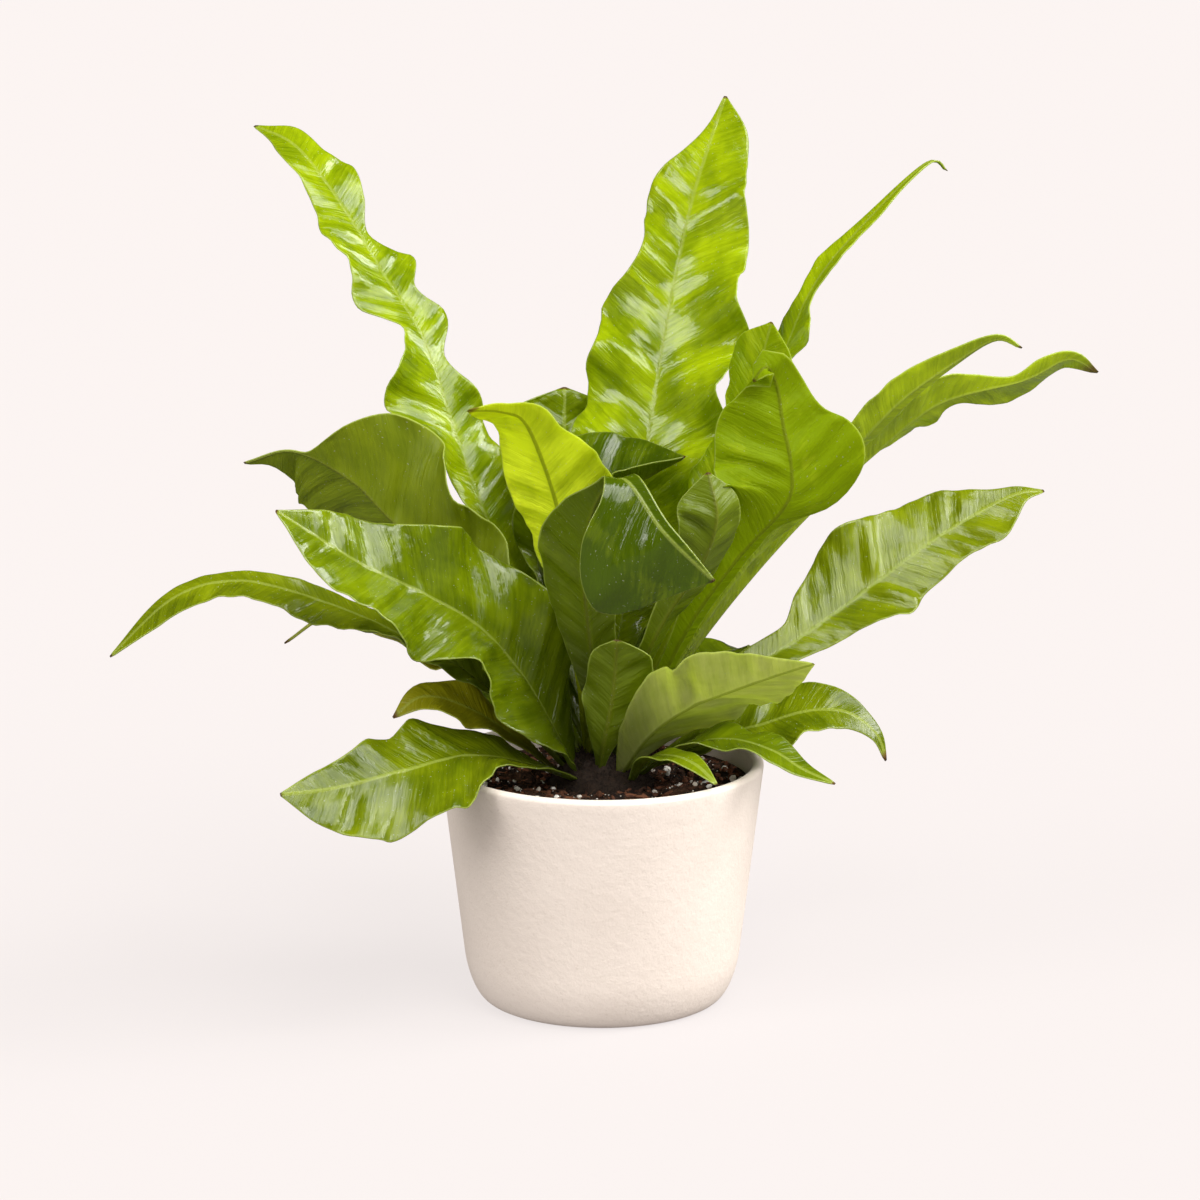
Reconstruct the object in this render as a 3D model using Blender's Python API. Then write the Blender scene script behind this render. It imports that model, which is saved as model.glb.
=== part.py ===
# A bird's nest fern in a plain round pot: a pot, its soil, the rootstock in the soil and the fronds.
#
# It is built in metres with +Z up. The origin is the centre of the pot's foot, on the surface that it
# stands on, and the front of the plant faces -Y. Sizes here are in millimetres, and MM makes them metres.

import math

import bpy
import numpy as np

MM = 0.001
CLEAR = 0.3  # between pieces that touch

# The pot: an outer wall that leans out evenly above a large round at the foot, and a soft round lip
POT_HEIGHT = 112.8
RIM_RADIUS = 75.0  # 150 mm across, a common size of pot
WALL_LEAN = 0.12  # how far the wall goes out for each millimetre up
WALL = 4.4
FOOT_RADIUS = 52.5
FOOT_ROUND = 22.0  # height of the round at the foot
FLOOR = 6.0
ROUND_STEPS = 56  # sides of the pot and the soil

# The soil, in lumps, with a plain hole for the rootstock
SOIL_LEVEL = 102.0
SOIL_LUMPS = 1.2
SOIL_RINGS = 9
SOIL_SEED = 7

# The rootstock: a low dome in the middle of the soil, with a socket for each stalk
CROWN_TOP = 120.5
CROWN_CURVE = 0.029  # how much the dome falls, for each square millimetre of its radius
CROWN_RADIUS = 24.5
CROWN_FOOT = 90.0
CROWN_STEPS = 32
SOCKET_LENGTH = 45.0  # how much of each stalk is kept clear of the rootstock

# The fronds: thin waved blades, thicker along the midrib, each on a short stalk
STALK_HALF = 2.4  # half the width of a stalk
STALK_THICK = 2.4
STALK_SHARE = 1 / 6  # of a frond's length, in which its stalk thins down to the blade
RIB_THICK = 1.5
BLADE_THICK = 0.8
BLADE_COLUMNS = 5
TIP_HALF = 0.7

# Each frond leans towards its heading, in degrees from +X. Its path gives points along the midrib: how far
# out that way, how far to the left of it, and how high above the foot. Its widths are from the midrib to an
# edge at even distances along the path, with left and right given apart where they differ. Twist turns the
# blade about its midrib and fold lifts its halves, both in degrees along the path. Its waves are the swing
# in degrees, their count, where they start and how far the right edge lags behind the left, as shares of a
# wave. Scallop swells the edge with the waves, and lobe pulls the left half back over the stalk.
FRONDS = {
    # Left side
    "tall_left": dict(
        heading=135, rows=34, waves=(36, 7, 0.25, 0.45), scallop=0.05,
        path=[(9, -1.5, 113), (38, 0, 160), (70, 0, 204), (94, 0, 245), (118, 0, 293), (146, 0, 322),
              (176, 0, 353), (208, 0, 378), (239, 0, 386)],
        left=[2.4, 4, 6, 8, 9, 9, 9, 10, 13, 22, 32, 25, 10, 23, 19, 24, 15, 12, 13, 6, 0.7],
        right=[2.4, 6, 9, 12, 14, 16, 18, 22, 23, 20, 16, 8, 18, 10, 20, 5, 12, 17, 11, 9, 0.7],
        twist=[0, 0, -5, -10, -20], fold=[30, 15, 10, 5]),
    "far_left": dict(
        heading=185, rows=20, waves=(20, 3, 0.1, 0.3),
        path=[(16, 0, 108), (56, 0, 150), (94, 0, 174), (129, 0, 190), (165, 0, 200), (195, 0, 193),
              (225, 0, 166)],
        left=[2.4, 9, 18, 21, 18, 15, 12, 0.7],
        right=[2.4, 6, 14, 13, 9, 8, 7, 0.7],
        twist=[0, -12, -25, -25], fold=[30, 15, 5, 0]),
    "broad_left": dict(
        heading=204, rows=20, waves=(25, 3, 0.1, 0.3), lobe=20,
        path=[(14, 0, 108), (36, 0, 150), (60, 0, 180), (88, 0, 199), (119, 0, 216), (158, 0, 243)],
        left=[2.4, 23, 35, 29, 34, 32, 23, 0.7],
        right=[2.4, 21, 32, 36, 33, 26, 17, 0.7],
        twist=[-30, -50, -60, -55, -50], fold=[30, 20, 15]),
    "dull_left": dict(
        heading=163, rows=24, waves=(24, 3, 0.1, 0.1),
        path=[(11, -1, 113), (35, -1, 154), (70, 0, 190), (104, 0, 221), (122, 0, 237), (150, 0, 249),
              (175, 0, 242)],
        left=[2.4, 4, 5, 7, 10, 14, 20, 25, 30, 35, 38, 40, 42, 43, 43, 39, 26, 3, 0.7, 0.7, 0.7],
        right=[2.4, 4, 5, 7, 10, 14, 18, 22, 26, 29, 31, 31, 31, 30, 29, 30, 33, 32, 29, 8, 0.7],
        twist=[20, 50, 70, 70, 50], fold=[20, 10, 5]),
    "low_front_left": dict(
        heading=212, rows=20, waves=(14, 4, 0.1, 0.3),
        path=[(18.5, 6.5, 107), (40, 7.5, 116.5), (70, 0, 124), (105, 0, 122), (140, 0, 119),
              (168, 0, 120)],
        left=[2.4, 9, 19, 28, 31, 29, 21, 0.7],
        right=[2.4, 7, 20, 26, 21, 16, 10, 0.7],
        twist=[0, -10, -30, -55, -60], fold=[20, 5, 0]),
    "bright_left": dict(
        heading=215, rows=24, waves=(18, 3.5, 0.1, 0.3),
        path=[(8, 0, 114), (11, 1, 155), (15, 2, 195), (25, 0, 235), (33, 0, 257), (43, 0, 276),
              (57, 0, 282), (73, 0, 284)],
        left=[2.4, 3, 4, 4, 5, 5, 6, 8, 10, 15, 21, 26, 29, 29, 28, 25, 15, 12, 7, 5, 0.7],
        right=[2.4, 3, 4, 4, 5, 5, 6, 8, 10, 13, 16, 18, 20, 21, 20, 19, 18, 17, 16, 11, 0.7],
        twist=[20, 40, 40, 30], fold=[20, 10, 10, 10]),
    "old_left_upper": dict(
        heading=174, rows=14, waves=(20, 3, 0.1, 0.3),
        path=[(17, -3.4, 107), (50, -3.6, 148), (84, -1, 168.5), (103, 0, 171), (126, 0, 178),
              (148, 0, 164)],
        left=[2.4, 6, 12, 19, 5, 1.5, 0.7],
        right=[2.4, 4, 12, 14, 5, 1.5, 0.7],
        twist=[-20, -30, -30], fold=[20, 10, 0]),
    "old_left_lower": dict(
        heading=193, rows=12, waves=(20, 3, 0.1, 0.3),
        path=[(20, 2, 106), (42, 1.5, 126), (64, 0, 141), (84, 0, 147), (98, 0, 138)],
        left=[2.4, 4, 10, 13, 10, 0.7],
        right=[2.4, 5, 10, 14, 10, 0.7],
        twist=[-10, -30, -30], fold=[20, 10, 0]),
    # Middle
    "tall_middle": dict(
        heading=62, rows=32, waves=(26, 7, 0.2, 0.3), scallop=0.05,
        path=[(5, 3, 115), (18, 2, 160), (32, 0, 205), (45, 0, 253), (60, 0, 296), (74, 0, 330),
              (92, 0, 365), (124, 0, 407)],
        left=[2.4, 3, 5, 7, 9, 12, 17, 25, 32, 36, 38, 34, 33, 39, 23, 19, 24, 21, 11, 4, 0.7],
        right=[2.4, 4, 7, 11, 16, 21, 26, 30, 33, 36, 38, 40, 41, 40, 37, 33, 29, 26, 21, 15, 0.7],
        twist=[0, 0, 10], fold=[30, 15, 5, 0]),
    "arching_front": dict(
        heading=270, rows=24, waves=(12, 3, 0.1, 0.3),
        path=[(7, 0, 114), (20, -4, 160), (38, -8, 205), (57, -4, 242), (73, 9, 259), (87, 27, 238),
              (90, 49, 217)],
        left=[2.4, 8, 11, 13, 15, 16, 13, 7, 5, 4, 0.7],
        right=[2.4, 4, 9, 15, 21, 23, 14, 6, 34, 43, 0.7],
        twist=[0, 0, 0, 20], fold=[25, 20, 30, 30, 10, 0, 0]),
    "inner_right": dict(
        heading=0, rows=18, waves=(15, 3, 0.1, 0.3),
        path=[(-4, 0, 115), (-9, 10, 160), (-10, 14, 195), (0, 13, 228), (18, 10, 242), (38, 4, 254)],
        left=[2.4, 7, 14, 36, 34, 0.7],
        right=[2.4, 4, 8, 22, 20, 0.7],
        twist=[0, 0, 0], fold=[30, 45, 65, 60, 45]),
    "low_centre": dict(
        heading=262, rows=10, waves=(15, 3, 0.1, 0.3),
        path=[(13, 0.2, 109), (19, 4, 128), (23, 8, 148), (27, 10, 166), (31, 11, 177)],
        left=[2.2, 3, 5, 8, 12, 15, 17, 18, 18, 16, 0.7],
        right=[2.2, 3, 6, 9, 12, 14, 14, 14, 13, 10, 0.7],
        twist=[0, 0], fold=[25, 15, 10]),
    # Right side
    "upper_right": dict(
        heading=27, rows=30, waves=(30, 4, 0.1, 0.3), scallop=0.1,
        path=[(7, 2.5, 115), (31, 2, 155), (56, 0, 205), (80, 0, 255), (97, 0, 300), (112, 0, 328),
              (137, 0, 353), (170, 0, 379), (181, 0, 375)],
        left=[2.4, 3, 4, 6, 8, 10, 12, 15, 17, 18, 18, 15, 7, 16, 8, 9, 6, 4, 3, 2, 0.7],
        right=[2.4, 3, 4, 6, 8, 10, 12, 15, 17, 18, 18, 15, 8, 20, 9, 10, 7, 7, 4, 3, 0.7],
        twist=[0, 0, 0, 0], fold=[25, 15, 10]),
    "bright_right": dict(
        heading=-22, rows=22, waves=(20, 3.5, 0.1, 0.3),
        path=[(11.5, -2, 112), (40, 0, 175), (66, 0, 213), (89, 0, 240), (91, 0, 258), (87, 0, 276),
              (84, 0, 293), (82, -8, 303), (78, -14, 297)],
        left=[2.4, 3, 4, 4, 5, 5, 6, 6, 6, 6, 5, 5, 5, 14, 32, 36, 29, 18, 12, 9, 0.7],
        right=[2.4, 3, 4, 4, 5, 5, 6, 8, 11, 15, 20, 25, 29, 32, 33, 33, 31, 28, 21, 11, 0.7],
        twist=[-30, -50, -55], fold=[20, 10, 0]),
    "behind_right": dict(
        heading=3, rows=18, waves=(20, 3.5, 0.1, 0.3),
        path=[(3.2, 0.6, 115), (26, -4, 160), (46, -8.5, 210), (62, -10.5, 255), (71, -8.5, 295),
              (76, -10, 318)],
        left=[2.4, 4, 5, 6, 7, 8, 10, 11, 13, 15, 18, 21, 24, 26, 27, 27, 25, 22, 19, 16, 0.7],
        right=[2.4, 4, 5, 6, 7, 8, 10, 11, 12, 13, 14, 15, 17, 18, 20, 22, 25, 27, 27, 22, 0.7],
        twist=[20, 30], fold=[20, 10, 0]),
    "narrow_right": dict(
        heading=0, rows=20, waves=(30, 3.5, 0.1, 0.3),
        path=[(10.5, 0, 112), (40, 7, 165), (74, 10, 212), (108, 6, 250), (135, 1, 280), (159, 0, 298),
              (178, 0, 309), (190, 0, 305)],
        left=[2.4, 5, 8, 7, 6, 7, 8, 7, 5, 3, 0.7],
        right=[2.4, 4, 7, 11, 15, 17, 17, 13, 11, 7, 0.7],
        twist=[0, -30, -60, -50, -40], fold=[30, 20, 10]),
    "long_right": dict(
        heading=15, rows=20, waves=(30, 3.5, 0.1, 0.3),
        path=[(11, 4, 112), (52, 12, 165), (95, 14, 212), (134, 8, 249), (162, 0, 272), (203, 0, 281),
              (225, 0, 290), (240, 0, 283)],
        left=[2.4, 3, 4, 6, 7, 8, 9, 10, 11, 12, 12, 10, 10, 23, 18, 6, 11, 16, 13, 10, 0.7],
        right=[2.4, 3, 4, 6, 8, 10, 12, 14, 16, 17, 17, 16, 15, 15, 16, 14, 8, 4, 8, 5, 0.7],
        twist=[0, -20, -50, -50], fold=[30, 20, 10]),
    "broad_right": dict(
        heading=32, rows=26, waves=(20, 3.5, 0.1, 0.3),
        path=[(16, 0, 108), (60, 0, 136), (105, 0, 154), (145, 0, 173), (188, 0, 195), (232, 0, 211),
              (254, 0, 212)],
        left=[2.4, 4, 6, 8, 9, 9, 9, 9, 10, 19, 24, 28, 31, 30, 27, 24, 21, 14, 7, 4, 0.7],
        right=[2.4, 4, 6, 8, 9, 10, 10, 10, 11, 13, 14, 19, 25, 20, 18, 16, 17, 19, 13, 5, 0.7],
        twist=[30, 40, 45, 45, 40], fold=[25, 10, 0]),
    "pale_front_right": dict(
        heading=-35, rows=16, waves=(9, 2.5, 0.1, 0.3), scallop=0.03,
        path=[(15, -7, 109), (28, -3, 128), (48, 0, 144), (75, 0, 157), (100, 0, 168), (115, 0, 174)],
        left=[2.4, 26, 36, 31, 20, 0.7],
        right=[2.4, 17, 27, 31, 20, 0.7],
        twist=[-20, -30, -35], fold=[25, 15, 10]),
    "drooping_right": dict(
        heading=-2, rows=14, waves=(20, 3, 0.1, 0.3),
        path=[(16, 0, 106), (50, 0, 122), (75, 0, 130), (94, 0, 136), (112, 0, 136), (126, 0, 126),
              (131, 0, 113)],
        widths=[2.4, 9, 19, 21, 15, 7, 0.7],
        twist=[10, 30, 40], fold=[25, 10, 0]),
    "low_right": dict(
        heading=-25, rows=12, waves=(20, 3, 0.1, 0.3),
        path=[(17, 0, 106), (40, 0, 122), (63, 0, 129), (85, 0, 126), (100, 0, 119), (116, 0, 114)],
        widths=[2.4, 8, 12, 12, 7, 0.7],
        twist=[0, 10, 20], fold=[20, 10, 0]),
    "small_front": dict(
        heading=-50, rows=10, waves=(10, 3, 0.1, 0.3),
        path=[(20, 1, 106), (32, 0, 119), (50, 0, 124), (66, 0, 123), (80, 0, 117)],
        widths=[2.2, 6, 7, 5, 0.7],
        twist=[0, 10, 20], fold=[20, 10, 0]),
    "cupped_small": dict(
        heading=-50, rows=12, waves=(15, 3, 0.1, 0.3),
        path=[(7.2, 0.6, 113), (19, 3, 150), (40, 3, 185), (63, 5, 214), (72, 6, 237), (66, 6, 257)],
        left=[2.2, 2.4, 2.4, 3, 3, 4, 5, 6, 7, 8, 9, 10, 12, 14, 15, 16, 16, 15, 14, 10, 0.7],
        right=[2.2, 2.4, 2.4, 3, 3, 4, 4, 5, 5, 6, 7, 8, 10, 12, 13, 15, 16, 17, 17, 14, 0.7],
        twist=[-20, -20, -20], fold=[30, 30, 25]),
    # Back
    "behind_centre": dict(
        heading=70, rows=12, waves=(20, 3, 0.1, 0.3),
        path=[(12, -1, 110), (26, -4, 145), (42, -9, 178), (52, -15, 205), (59, -17, 225)],
        widths=[2.4, 3, 3, 4, 5, 8, 11, 14, 14, 10, 0.7],
        twist=[0, 0], fold=[25, 15, 10]),
    "back_upright": dict(
        heading=108, rows=18, waves=(25, 3, 0.1, 0.3),
        path=[(10, -4, 114), (31, -3, 160), (53, -3, 210), (69, -4, 248), (76, -6, 274)],
        left=[2.4, 4, 7, 10, 13, 16, 19, 22, 24, 26, 27, 28, 29, 30, 30, 30, 30, 29, 28, 22, 0.7],
        right=[2.4, 3, 4, 6, 9, 11, 14, 17, 19, 21, 22, 24, 25, 26, 27, 28, 29, 29, 28, 22, 0.7],
        twist=[0, 0], fold=[25, 15, 10]),
    "back_middle": dict(
        heading=86, rows=18, waves=(25, 4, 0.1, 0.3),
        path=[(15, 0, 109), (48, 0, 156), (88, 0, 190), (130, 0, 208), (172, 0, 203)],
        widths=[2.4, 10, 24, 25, 16, 0.7],
        twist=[0, 0], fold=[25, 15, 10]),
    "back_low_right": dict(
        heading=58, rows=18, waves=(25, 4, 0.1, 0.3),
        path=[(16, 0, 107), (50, 0, 126), (85, 0, 137), (118, 0, 140), (145, 0, 132)],
        widths=[2.4, 10, 20, 21, 14, 0.7],
        twist=[0, 0], fold=[25, 15, 10]),
    "back_low_left": dict(
        heading=119, rows=18, waves=(25, 4, 0.1, 0.3),
        path=[(17, -3, 107), (55, 0, 130), (95, 0, 150), (135, 0, 160), (170, 0, 150)],
        widths=[2.4, 8, 22, 24, 16, 0.7],
        twist=[0, 0], fold=[25, 15, 10]),
    "back_far_left": dict(
        heading=152, rows=14, waves=(25, 4, 0.1, 0.3),
        path=[(16, -5, 107), (44, -3, 124), (70, 0, 133), (90, 0, 134), (106, 0, 127)],
        widths=[2.4, 7, 15, 17, 12, 0.7],
        twist=[0, 0], fold=[25, 15, 10]),
}

OLD_FRONDS = ("old_left_upper", "old_left_lower")
PALE_FRONDS = ("pale_front_right", "dull_left", "long_right")
BRIGHT_FRONDS = ("tall_left", "tall_middle", "bright_left", "bright_right", "upper_right")


def clear_scene():
    for thing in list(bpy.data.objects):
        bpy.data.objects.remove(thing)


def material(name, colour, roughness):
    made = bpy.data.materials.new(name)
    made.use_nodes = True
    shader = made.node_tree.nodes["Principled BSDF"]
    shader.inputs["Base Color"].default_value = (*colour, 1)
    shader.inputs["Roughness"].default_value = roughness
    shader.inputs["Metallic"].default_value = 0
    return made


def add_object(name, mesh, look, collection):
    made = bpy.data.objects.new(name, mesh)
    if look:
        mesh.materials.append(look)
    collection.objects.link(made)
    return made


def turned(name, profile, steps, look, collection):
    """A round solid from its outline: (radius, height) points that run down its outer side."""
    mesh = bpy.data.meshes.new(name)
    points = [(radius * MM, 0, height * MM) for radius, height in profile]
    mesh.from_pydata(points, [(k, k + 1) for k in range(len(points) - 1)], [])
    made = add_object(name, mesh, look, collection)
    screw = made.modifiers.new("turn", "SCREW")
    screw.axis = "Z"
    screw.steps = steps
    screw.render_steps = steps
    screw.use_merge_vertices = True
    screw.merge_threshold = 0.00001
    screw.use_smooth_shade = True
    return made


def wall_radius(height):
    """Outer radius of the pot: an even lean, and at the foot a quarter of an ellipse."""
    radius = RIM_RADIUS - WALL_LEAN * (POT_HEIGHT - max(height, FOOT_ROUND))
    if height < FOOT_ROUND:
        drop = 1 - height / FOOT_ROUND
        radius = FOOT_RADIUS + (radius - FOOT_RADIUS) * math.sqrt(1 - drop * drop)
    return radius


def inner_radius(height):
    """Inner radius of the pot: the outside, one wall in and raised by the floor."""
    return wall_radius(height - FLOOR) - WALL


def round_heights(shares):
    """Heights that part the round at the foot evenly as it turns."""
    return [FOOT_ROUND * (1 - math.sin(share * math.pi / 2)) for share in shares]


def make_pot(look, collection):
    lip_height = POT_HEIGHT - WALL / 2
    lip_middle = (wall_radius(lip_height) + inner_radius(lip_height)) / 2
    lip_half = (wall_radius(lip_height) - inner_radius(lip_height)) / 2
    inside = [(0, FLOOR), (FOOT_RADIUS - WALL, FLOOR)]
    inner_heights = [FLOOR + height for height in round_heights((0.8, 0.6, 0.4, 0.2, 0))] + [50, 76]
    inside += [(inner_radius(height), height) for height in inner_heights]
    lip = []
    for angle in (180, 150, 120, 90, 60, 30, 0):
        turn = math.radians(angle)
        lip.append((lip_middle + lip_half * math.cos(turn), lip_height + WALL / 2 * math.sin(turn)))
    outside = [(wall_radius(height), height) for height in (84, 56)]
    outside += [(wall_radius(height), height) for height in round_heights((0, 0.2, 0.4, 0.6, 0.8))]
    outside += [(FOOT_RADIUS, 0), (0, 0)]
    return turned("pot", inside + lip + outside, ROUND_STEPS, look, collection)


def soil_lumps(radius, angle):
    """Height of the soil's lumps: waves of falling size in seeded directions, flat at the two edges."""
    draw = np.random.default_rng(SOIL_SEED)
    x, y = radius * np.cos(angle), radius * np.sin(angle)
    height = np.zeros_like(x)
    for length in (31, 23, 17, 13, 10, 8):
        way, start = draw.uniform(0, 2 * math.pi, 2)
        height += np.sin(2 * math.pi * (x * math.cos(way) + y * math.sin(way)) / length + start) * length / 31
    inner, outer = CROWN_RADIUS + CLEAR, inner_radius(SOIL_LEVEL) - CLEAR
    edge = np.clip((radius - inner) / 5, 0, 1) * np.clip((outer - radius) / 5, 0, 1)
    return SOIL_LUMPS * height * edge


def make_soil(look, collection):
    """A round solid in rings: the hole for the rootstock, the lumpy top, and the wall down to the floor."""
    hole = CROWN_RADIUS + CLEAR
    top = np.linspace(hole, inner_radius(SOIL_LEVEL) - CLEAR, SOIL_RINGS)
    rings = [(hole, CROWN_FOOT - CLEAR)]
    rings += [(radius, SOIL_LEVEL) for radius in top]
    rings += [(inner_radius(height) - CLEAR, height) for height in (76, 50)]
    below = [FLOOR + height for height in round_heights((0, 0.2, 0.4, 0.6, 0.8))]
    rings += [(inner_radius(height) - CLEAR, height) for height in below]
    rings += [(FOOT_RADIUS - WALL - CLEAR, FLOOR + CLEAR)]
    radius = np.array([ring[0] for ring in rings])[:, None]
    height = np.array([ring[1] for ring in rings])[:, None]
    angle = 2 * math.pi * np.arange(ROUND_STEPS)[None, :] / ROUND_STEPS
    on_top = np.zeros_like(radius)
    on_top[1:SOIL_RINGS + 1] = 1
    height = height + on_top * soil_lumps(radius, angle)
    grid = np.stack([radius * np.cos(angle), radius * np.sin(angle), height], -1).reshape(-1, 3)
    ends = [(0, 0, rings[0][1]), (0, 0, rings[-1][1])]
    first, last = len(grid), len(grid) + 1
    faces = []
    for ring in range(len(rings) - 1):
        for step in range(ROUND_STEPS):
            here, after = ring * ROUND_STEPS + step, ring * ROUND_STEPS + (step + 1) % ROUND_STEPS
            faces.append((here, here + ROUND_STEPS, after + ROUND_STEPS, after))
    bottom = (len(rings) - 1) * ROUND_STEPS
    for step in range(ROUND_STEPS):
        after = (step + 1) % ROUND_STEPS
        faces.append((first, step, after))
        faces.append((last, bottom + after, bottom + step))
    mesh = bpy.data.meshes.new("soil")
    mesh.from_pydata((np.vstack([grid, ends]) * MM).tolist(), [], faces)
    mesh.shade_smooth()
    mesh.set_sharp_from_angle(angle=math.radians(50))
    return add_object("soil", mesh, look, collection)


def along(values, shares):
    """A smooth curve through values at even distances, read at shares of its length."""
    values = np.asarray(values, float)
    place = np.clip(shares * (len(values) - 1), 0, len(values) - 1 - 1e-9)
    start = place.astype(int)
    part = place - start
    if values.ndim > 1:
        part = part[:, None]
    before = 2 * values[:1] - values[1:2]
    beyond = 2 * values[-1:] - values[-2:-1]
    padded = np.concatenate([before, values, beyond])
    a, b, c, d = (padded[start + k] for k in range(4))
    bend = 2 * a - 5 * b + 4 * c - d + part * (3 * (b - c) + d - a)
    return b + 0.5 * part * (c - a + part * bend)


def midrib(frond, shares):
    """Points along the midrib at even distances, its direction there, and its length."""
    turn = math.radians(frond["heading"])
    ways = np.array([
        [math.cos(turn), math.sin(turn), 0],
        [-math.sin(turn), math.cos(turn), 0],
        [0, 0, 1],
    ])
    dense = along(frond["path"], np.linspace(0, 1, 400))
    run = np.concatenate([[0], np.cumsum(np.linalg.norm(np.diff(dense, axis=0), axis=1))])

    def point(share):
        reach = np.clip(share, 0, 1) * run[-1]
        return np.stack([np.interp(reach, run, dense[:, k]) for k in range(3)], 1) @ ways

    direction = point(shares + 0.01) - point(shares - 0.01)
    direction /= np.linalg.norm(direction, axis=1)[:, None]
    return point(shares), direction, ways[1], run[-1]


def frond_sheet(frond, shares, columns, grow=0):
    """The blade's middle surface, a grid of points with a row across the blade at each share of its length.

    Across the blade each half is a curve that leaves the midrib at the fold's angle and swings up and down
    with the waves. Its points are the sum of short steps in the direction of that angle.
    """
    middle, direction, left, _ = midrib(frond, shares)
    across = left - (direction @ left)[:, None] * direction
    across /= np.linalg.norm(across, axis=1)[:, None]
    upper = np.cross(direction, across)
    twist = np.radians(along(frond["twist"], shares))[:, None]
    across, upper = (
        across * np.cos(twist) + upper * np.sin(twist),
        upper * np.cos(twist) - across * np.sin(twist),
    )
    halves = {}
    for side in ("left", "right"):
        halves[side] = np.maximum(along(frond.get(side, frond.get("widths")), shares), TIP_HALF)
    widest = np.maximum(halves["left"], halves["right"])
    fullness = widest / widest.max()
    swing, count, start, lag = frond["waves"]
    fold = np.radians(along(frond["fold"], shares))[:, None]
    fine = np.linspace(0, 1, 17)
    sheet = np.empty((len(shares), columns, 3))
    for side, sign in (("left", 1), ("right", -1)):
        drift = 0.1 * np.sin(2 * math.pi * (1.7 * shares + start))
        phase = 2 * math.pi * (count * shares + start + drift + (lag if sign < 0 else 0))
        wave = fullness[:, None] * fine ** 0.7 * np.sin(phase[:, None] - 0.9 * fine)
        angle = fold * (1 - 0.35 * fine) + math.radians(swing) * wave
        half = halves[side]
        swell = frond.get("scallop", 0.08) * fullness * np.cos(phase - 0.9)
        half = half + np.maximum(half - STALK_HALF, 0) * swell + grow
        back = frond.get("lobe", 0) * fullness * np.clip(1 - 3 * shares, 0, 1) * (sign > 0)
        for column in range(columns):
            place = 2 * column / (columns - 1) - 1
            if place * sign < 0 or (place == 0 and sign < 0):
                continue
            steps = []
            for slope in (np.cos(angle), np.sin(angle)):
                sums = np.cumsum((slope[:, 1:] + slope[:, :-1]) / 2, 1) / 16
                sums = np.concatenate([np.zeros((len(shares), 1)), sums], 1)
                steps.append(np.array([np.interp(abs(place), fine, row) for row in sums]) * half)
            sheet[:, column] = middle + across * (sign * steps[0])[:, None] + upper * steps[1][:, None]
            sheet[:, column] -= direction * (back * abs(place))[:, None]
    return sheet


def blade_thickness(shares, columns):
    """Thickness over the grid: the blade's, more along the midrib, and a stalk's at the start."""
    place = np.abs(np.linspace(-1, 1, columns))[None, :]
    thick = BLADE_THICK + (RIB_THICK - BLADE_THICK) * (1 - place) ** 2
    stalk = np.clip(1 - shares / STALK_SHARE, 0, 1)[:, None]
    return thick + (STALK_THICK - thick) * stalk


def sheet_faces(rows, columns):
    """Triangles of the grid, which mirror each other about the midrib, so that both faces bend alike."""
    faces = []
    for row in range(rows - 1):
        for column in range(columns - 1):
            a = row * columns + column
            b, c, d = a + columns, a + columns + 1, a + 1
            if column < columns // 2:
                faces += [(a, d, b), (b, d, c)]
            else:
                faces += [(a, d, c), (a, c, b)]
    return faces


def add_blade(name, sheet, thickness, look, collection):
    """A frond's solid: its middle surface with the given thickness, half of it on each side."""
    rows, columns = sheet.shape[:2]
    mesh = bpy.data.meshes.new(name)
    mesh.from_pydata((sheet.reshape(-1, 3) * MM).tolist(), [], sheet_faces(rows, columns))
    mesh.shade_smooth()
    made = add_object(name, mesh, look, collection)
    group = made.vertex_groups.new(name="thickness")
    most = float(thickness.max())
    for point, thick in enumerate(thickness.reshape(-1)):
        group.add([point], float(thick) / most, "REPLACE")
    solidify = made.modifiers.new("thickness", "SOLIDIFY")
    solidify.thickness = most * MM
    solidify.offset = 0
    solidify.vertex_group = group.name
    return made


def make_frond(name, frond, look, collection):
    shares = np.linspace(0, 1, frond["rows"])
    sheet = frond_sheet(frond, shares, BLADE_COLUMNS)
    return add_blade("frond_" + name, sheet, blade_thickness(shares, BLADE_COLUMNS), look, collection)


def make_socket(name, frond, collection):
    """The start of a stalk, made larger by the clearance on all sides, to cut its socket."""
    shares = np.linspace(0, 1, frond["rows"])
    length = midrib(frond, shares)[3]
    rows = 2 + int(SOCKET_LENGTH / length * (frond["rows"] - 1))
    sheet = frond_sheet(frond, shares, BLADE_COLUMNS, CLEAR)[:rows]
    direction = midrib(frond, shares)[1]
    sheet[0] -= direction[0] * CLEAR
    thickness = blade_thickness(shares, BLADE_COLUMNS)[:rows] + 2 * CLEAR
    cutter = add_blade("socket_" + name, sheet, thickness, None, collection)
    cutter.hide_render = True
    cutter.display_type = "WIRE"


def make_crown(look, collection):
    """The rootstock's dome and its straight sides in the soil, with a socket cut for each stalk."""
    dome = [(radius, CROWN_TOP - CROWN_CURVE * radius * radius) for radius in (0, 5, 10, 15, 20)]
    dome.append((CROWN_RADIUS, CROWN_TOP - CROWN_CURVE * CROWN_RADIUS * CROWN_RADIUS))
    profile = dome + [(CROWN_RADIUS, CROWN_FOOT), (0, CROWN_FOOT)]
    crown = turned("crown", profile, CROWN_STEPS, look, collection)
    sockets = bpy.data.collections.new("sockets")
    collection.children.link(sockets)
    for name, frond in FRONDS.items():
        make_socket(name, frond, sockets)
    cut = crown.modifiers.new("sockets", "BOOLEAN")
    cut.operand_type = "COLLECTION"
    cut.collection = sockets
    cut.operation = "DIFFERENCE"
    cut.solver = "EXACT"


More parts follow.
